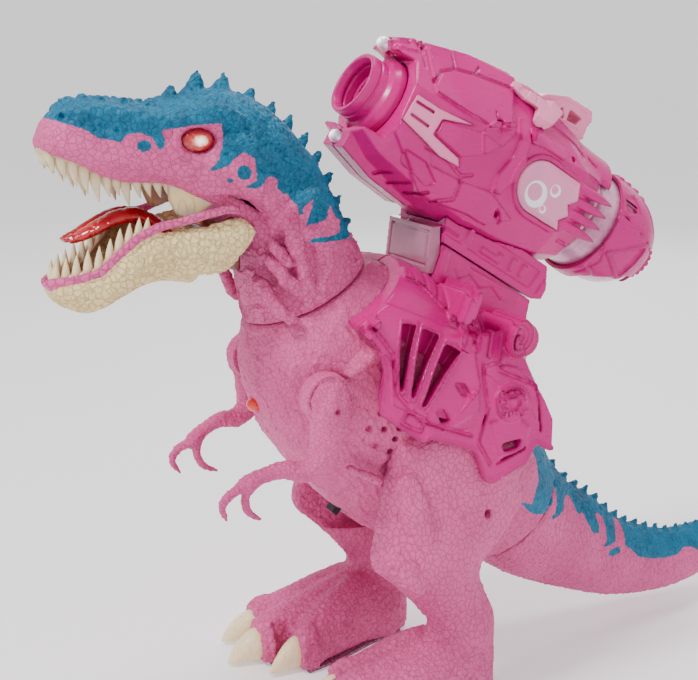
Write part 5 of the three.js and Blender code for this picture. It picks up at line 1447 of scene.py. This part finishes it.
def sculpt_saddle():
    clay = Clay((-1, -38, 132), (71, 104, 276), 0.9)
    saddle_solid(clay)
    y, z = side_grid(clay)
    clay.keep(-inside(y, z, SADDLE) + 0 * clay.x, 0.8)
    flank = 24 - np.abs(clay.x)
    panel = [(-16, 232), (-4, 236), (46, 214), (50, 190), (40, 168), (20, 174), (-2, 186), (-3, 208),
             (-14, 220)]
    raise_up(clay, [panel], 1.8, flank)
    ridge = line_distance(y, z, [(-17, 228), (-16, 241), (-7, 249), (8, 253), (26, 246), (37, 232)])
    notches = np.abs((np.degrees(np.arctan2(z - 215, y - 10)) + 400) % 14 - 7) / 7 - 0.25
    clay.add(meet(ridge - 5.0, clay.field - 2.2, flank), 1.0)
    clay.cut(meet(ridge - 4.6, notches * 1.2, -clay.field - 1.0, flank), 0.5)
    clay.add(meet(line_distance(y, z, [(37, 224), (43, 238), (48, 246), (57, 249)]) - 2.4,
                  clay.field - 2.2, flank), 1.2)
    for line in ([(46, 240), (40, 212)], [(54, 238), (48, 208)], [(61, 232), (56, 204)],
                 [(68, 224), (64, 200)]):
        clay.add(meet(line_distance(y, z, line) - 1.5, clay.field - 1.6, flank), 1.0)
    raise_up(clay, [[(46, 189), (47, 178), (24, 169)]], 2.0, flank)
    raise_up(clay, [[(54, 170), (60, 150), (76, 150), (80, 164), (70, 172)]], 1.3, flank)
    raise_up(clay, [[(50, 198), (60, 200), (74, 196), (86, 186), (84, 166), (78, 176), (60, 190)]], 1.3,
             flank)
    for outline in VENTS:
        ring = np.abs(inside(y, z, grown(outline, 1.6))) - 0.9
        clay.add(meet(ring, clay.field - 1.2, flank), 0.5)
    for (cy, cz), radius, spokes in (((68, 179), 10.5, 18), ((75, 211), 9.9, 0)):
        away = np.hypot(y - cy, z - cz)
        clay.add(meet(away - radius, clay.field - 2.4, flank), 0.7)
        for k in (0.78, 0.34) if spokes else (0.78, 0.5, 0.22):
            clay.cut(meet(np.abs(away - radius * k) - 0.6, -clay.field - 1.1, flank), 0.4)
        if spokes:
            turn = np.degrees(np.arctan2(z - cz, y - cy)) % (360 / spokes) - 180 / spokes
            spoke = meet(np.abs(turn) * math.pi / 180 * away - 0.45, away - radius * 0.74,
                         radius * 0.36 - away)
            clay.cut(meet(spoke, -clay.field - 0.9, flank), 0.3)
    scratch(clay, [[(-14, 226), (-2, 212), (0, 192), (14, 176), (44, 164)],
                   [(52, 200), (54, 178), (48, 160), (56, 146)], [(62, 196), (84, 186), (88, 160)],
                   [(60, 146), (78, 152)], [(-16, 256), (2, 262), (20, 260)],
                   [(3, 176), (14, 170), (16, 177), (6, 182), (3, 176)]], 1.5, 1.4, flank)
    sink(clay, [[(62, 157), (75, 158), (73, 153), (64, 152)], [(34, 193), (40, 192), (44, 185), (38, 186)],
                [(21, 181), (26, 181), (30, 174), (24, 174)]], 3.0, flank)
    edge = inside(y, z, SADDLE)
    clay.add(meet(edge - 2.0, -edge, clay.field - 0.8, 30 - np.abs(clay.x)), 0.8)
    clay.cut(loft(spine(TORSO, 0.8), 72, 90), 0.5)
    clay.cut(clay.rod_x(HIP, 46.0, 43.6, 63.8), 0.6)
    clay.cut(clay.rod_x(SHOULDER, 16, 44, 90), 1)
    for outline in VENTS:
        clay.cut(np.maximum(-inside(y, z, outline), 50 - np.abs(clay.x)), 0.8)
    point, normal = above_neck(-11)
    clay.keep(clay.plane(point, normal), 1.0)
    offset = np.stack(np.broadcast_arrays(clay.x, clay.y - NECK[1], clay.z - NECK[2]))
    along = offset[1] * normal[1] + offset[2] * normal[2]
    across = np.sqrt(np.maximum((offset**2).sum(0) - along**2, 0))
    clay.cut(np.maximum(across - 40, -40 - along), 1)
    clay.cut(clay.level(cradle_mesh(0.6)), 0.5)
    clay.keep(0.15 - clay.x, 0.5)
    mesh = clay.mesh()
    mesh[0][:, 1] -= 6 * step(52, 66, np.abs(mesh[0][:, 0]))
    for name, half in (("left", mesh), ("right", flipped(mesh))):
        make("saddle_shell_" + name, half, "body", ("saddle_" + name,), material=MAGENTA_GLOSS)


def grown(outline, by):
    middle = np.mean(outline, axis=0)
    out = []
    for p in np.array(outline, float):
        d = p - middle
        out.append(tuple(p + d / np.linalg.norm(d) * by))
    return out


def cradle_mesh(extra=0.0):
    points, triangles, quads = slab(grown(CRADLE, extra), -26 - extra, 26 + extra)
    return from_cannon(points), triangles, quads


def make_cradle():
    clay = Clay((-30, 32, -62), (30, 154, -22), 0.7)
    clay.add(slab(CRADLE, -26, 26))
    sink(clay, [[(58, -44.5), (84, -44.5), (84, -33), (62, -34)],
                [(88, -45), (136, -45), (138, -34), (88, -33)]], 1.2)
    raise_up(clay, [[(96, -43), (112, -43), (112, -37), (108, -37), (108, -39.5), (96, -39.5)],
                    [(118, -43), (122, -43), (122, -35), (118, -35)],
                    [(126, -43), (130, -43), (130, -35), (126, -35)],
                    [(64, -43), (80, -43), (80, -41.5), (64, -41.5)]], 1.0)
    scratch(clay, [[(42, -47), (56, -38)], [(46, -52), (64, -42)], [(142, -46), (143, -36)]], 1.0, 0.8)
    clay.cut(swollen_hull(0.4), 0)
    clay.cut(slab(grown(PRONG, 0.4), -12.4, 12.4), 0)
    clay.cut(rod_u(clay, 29.9, 135, 170, TANK_AXIS), 0)
    make("cannon_cradle", placed_in_cannon(clay), "body", ("cradle",), material=MAGENTA_GLOSS)

    clay = Clay((-32, 16, 196), (32, 106, 272), 0.85)
    clay.add(slab(POST, -27, 27))
    strip = [(43, 258), (47, 255), (39, 230), (34.5, 232)]
    raise_up(clay, [strip], 1.0, 20 - np.abs(clay.x))
    clay.cut(np.maximum(np.abs(clay.x) - 24.4, -inside(*side_grid(clay), grown(POST_WINDOW, 0.5))), 0.4)
    wave = [(52, 238), (60, 240), (66, 232), (74, 232), (80, 224), (90, 222)]
    scratch(clay, [wave, [(50, 244), (58, 226)], [(60, 244), (92, 226)]], 1.3, 0.9)
    clay.cut(loft(spine(TORSO, 8.9, 12.9), 72, 90), 0.4)
    make("saddle_post", clay.mesh(), "body", ("post",), material=MAGENTA_GLOSS)

    clay = Clay((-28, 30, 238), (28, 46, 272), 0.5)
    clay.add(slab(POST_WINDOW, -24, 24))
    rim = meet(np.abs(np.abs(clay.x) - 20) - 0.6, np.abs(clay.z - 256) - 9, -clay.field - 0.8)
    clay.cut(rim, 0.3)
    clay.cut(meet(np.abs(np.abs(clay.z - 256) - 9) - 0.6, np.abs(clay.x) - 20.6, -clay.field - 0.8), 0.3)
    clay.cut(cradle_mesh(0.35), 0)
    s = Shader("smoky_window", roughness=0.2, coat=0.5)
    s.colour(s.mix(s.range(s.noise(18), 0.3, 0.7), (0.42, 0.14, 0.24), (0.33, 0.10, 0.18)))
    s.bump(s.noise(9), 0.08, 0.6)
    make("rear_window", clay.mesh(), "body", ("post_window",), material=s.material)


# ------------------------------------------------------------------ carried-over pieces
def dress_carried():
    black = Shader("black_plastic", roughness=0.5)
    black.colour(black.mix(black.range(black.noise(6), 0.3, 0.7), (0.022, 0.022, 0.026),
                           (0.04, 0.04, 0.045)))
    black.bump(black.noise(0.8, 3.0), 0.08, 0.8)
    white = Shader("natural_plastic", roughness=0.42, subsurface=0.1)
    white.colour(white.mix(white.range(white.noise(12), 0.3, 0.7), (0.78, 0.77, 0.74), (0.70, 0.69, 0.66)))
    white.bump(white.noise(5, 3.0), 0.1, 0.6)
    steel = Shader("plated_steel", roughness=0.3, metallic=1.0)
    steel.colour(steel.mix(steel.range(steel.noise(4), 0.3, 0.7), (0.60, 0.60, 0.62), (0.48, 0.48, 0.50)))
    steel.roughness(steel.range(steel.noise(0.7, 3.0, (0.08, 1, 1)), 0.3, 0.7, 0.22, 0.42))
    steel.bump(steel.noise(0.7, 2.0, (0.08, 1, 1)), 0.03, 0.6)
    board = Shader("green_board", roughness=0.35, coat=0.4)
    tracks = board.range(board.cells(4.0), 0.0, 0.06)
    board.colour(board.mix(tracks, (0.10, 0.30, 0.12), (0.015, 0.13, 0.05)))
    board.bump(tracks, 0.1, 0.7)
    rubber = Shader("sole_rubber", roughness=0.85)
    # Painted shade: the tread pattern's grooves are coloured darker, as well as sunk by the bump.
    tread = rubber.range(rubber.cells(3.5), 0.0, 0.12)
    rubber.colour(rubber.mix(tread, (0.20, 0.06, 0.12), (0.42, 0.17, 0.28)))
    rubber.bump(tread, 0.5, 0.8)
    hose = Shader("milky_hose", roughness=0.25, transmission=0.3)
    hose.colour(hose.mix(hose.range(hose.noise(5), 0.3, 0.7), (0.82, 0.76, 0.80), (0.74, 0.66, 0.72)))
    hose.bump(hose.noise(3), 0.1, 0.6)
    looks = {"black": black, "white": white, "steel": steel, "board": board, "rubber": rubber,
             "clear": hose}
    slots = {row["node"]: row["material_slot"] for row in frame["record"]["subparts"]}
    for node, obj in frame["nodes"].items():
        look = looks.get(slots[node])
        chosen = look.material if look else BODY_SKIN if slots[node] == "skin" else MAGENTA_GLOSS
        obj.data.materials.clear()
        obj.data.materials.append(chosen)


sculpt_head()
make_mouth()
sculpt_jaw()
make_tongue()
make_eyes()
sculpt_torso()
sculpt_battery_door()
sculpt_tail()
sculpt_arm()
sculpt_leg()
make_claws()
make_cannon()
make_inlays()
make_muzzle()
make_lamps()
make_tank()
make_sight()
sculpt_saddle()
make_cradle()
dress_carried()


# ------------------------------------------------------------------ floor, light and camera
def make_stage():
    profile = np.array([(0.001, -0.0002), (1.4, -0.0002), (2.4, 0.02), (3.1, 0.25), (3.6, 0.9), (3.8, 2.0),
                        (3.8, 4.5)])
    rows = hermite([list(p) for p in profile], np.linspace(0, 1, 40))
    turn = np.linspace(0, 2 * np.pi, 96, endpoint=False)
    points = np.array([(r * math.sin(a), -r * math.cos(a), max(z, -0.0002)) for r, z in rows for a in turn])
    quads = [(i * 96 + k, i * 96 + (k + 1) % 96, (i + 1) * 96 + (k + 1) % 96, (i + 1) * 96 + k)
             for i in range(39) for k in range(96)]
    data = bpy.data.meshes.new("floor")
    data.from_pydata(points.tolist(), [], quads)
    data.shade_smooth()
    floor = bpy.data.objects.new("floor", data)
    bpy.context.scene.collection.objects.link(floor)
    s = Shader("floor_paper", roughness=0.62)
    s.colour(s.mix(s.noise(400), (0.80, 0.78, 0.80), (0.84, 0.82, 0.84)))
    s.bump(s.noise(2, 2.0), 0.05, 0.2)
    s.bsdf.inputs["Emission Color"].default_value = (1, 0.985, 0.995, 1)
    s.bsdf.inputs["Emission Strength"].default_value = 0.36
    floor.data.materials.append(s.material)
    world = bpy.data.worlds.new("studio")
    bpy.context.scene.world = world
    world.use_nodes = True
    world.node_tree.nodes["Background"].inputs["Color"].default_value = (0.97, 0.95, 0.97, 1)
    world.node_tree.nodes["Background"].inputs["Strength"].default_value = 0.35
    lamps = (("key", (0.2, -1.1, 1.5), 0.3, 24), ("fill", (1.5, 0.6, 0.6), 1.0, 2),
             ("top", (-0.2, 0.3, 1.7), 0.6, 13),
             ("back", (-1.1, 0.9, 0.8), 0.7, 5))
    for name, place, size, power in lamps:
        data = bpy.data.lights.new(name, "AREA")
        data.size = size
        data.energy = power
        lamp = bpy.data.objects.new(name, data)
        lamp.location = place
        lamp.rotation_euler = (Vector((0, 0, 0.2)) - Vector(place)).to_track_quat("-Z", "Y").to_euler()
        bpy.context.scene.collection.objects.link(lamp)


def make_camera():
    azimuth, elevation = math.radians(63), math.radians(14)
    back = Vector((math.sin(azimuth) * math.cos(elevation), -math.cos(azimuth) * math.cos(elevation),
                   math.sin(elevation)))
    target = (Vector((0, 0, 205)) + Vector(SHIFT)) / 1000
    data = bpy.data.cameras.new("photo_camera")
    data.sensor_width = 36
    data.lens = 65.8
    camera = bpy.data.objects.new("photo_camera", data)
    camera.location = target + back * 0.7
    camera.rotation_euler = (-back).to_track_quat("-Z", "Y").to_euler()
    bpy.context.scene.collection.objects.link(camera)
    bpy.context.scene.camera = camera


make_stage()
make_camera()
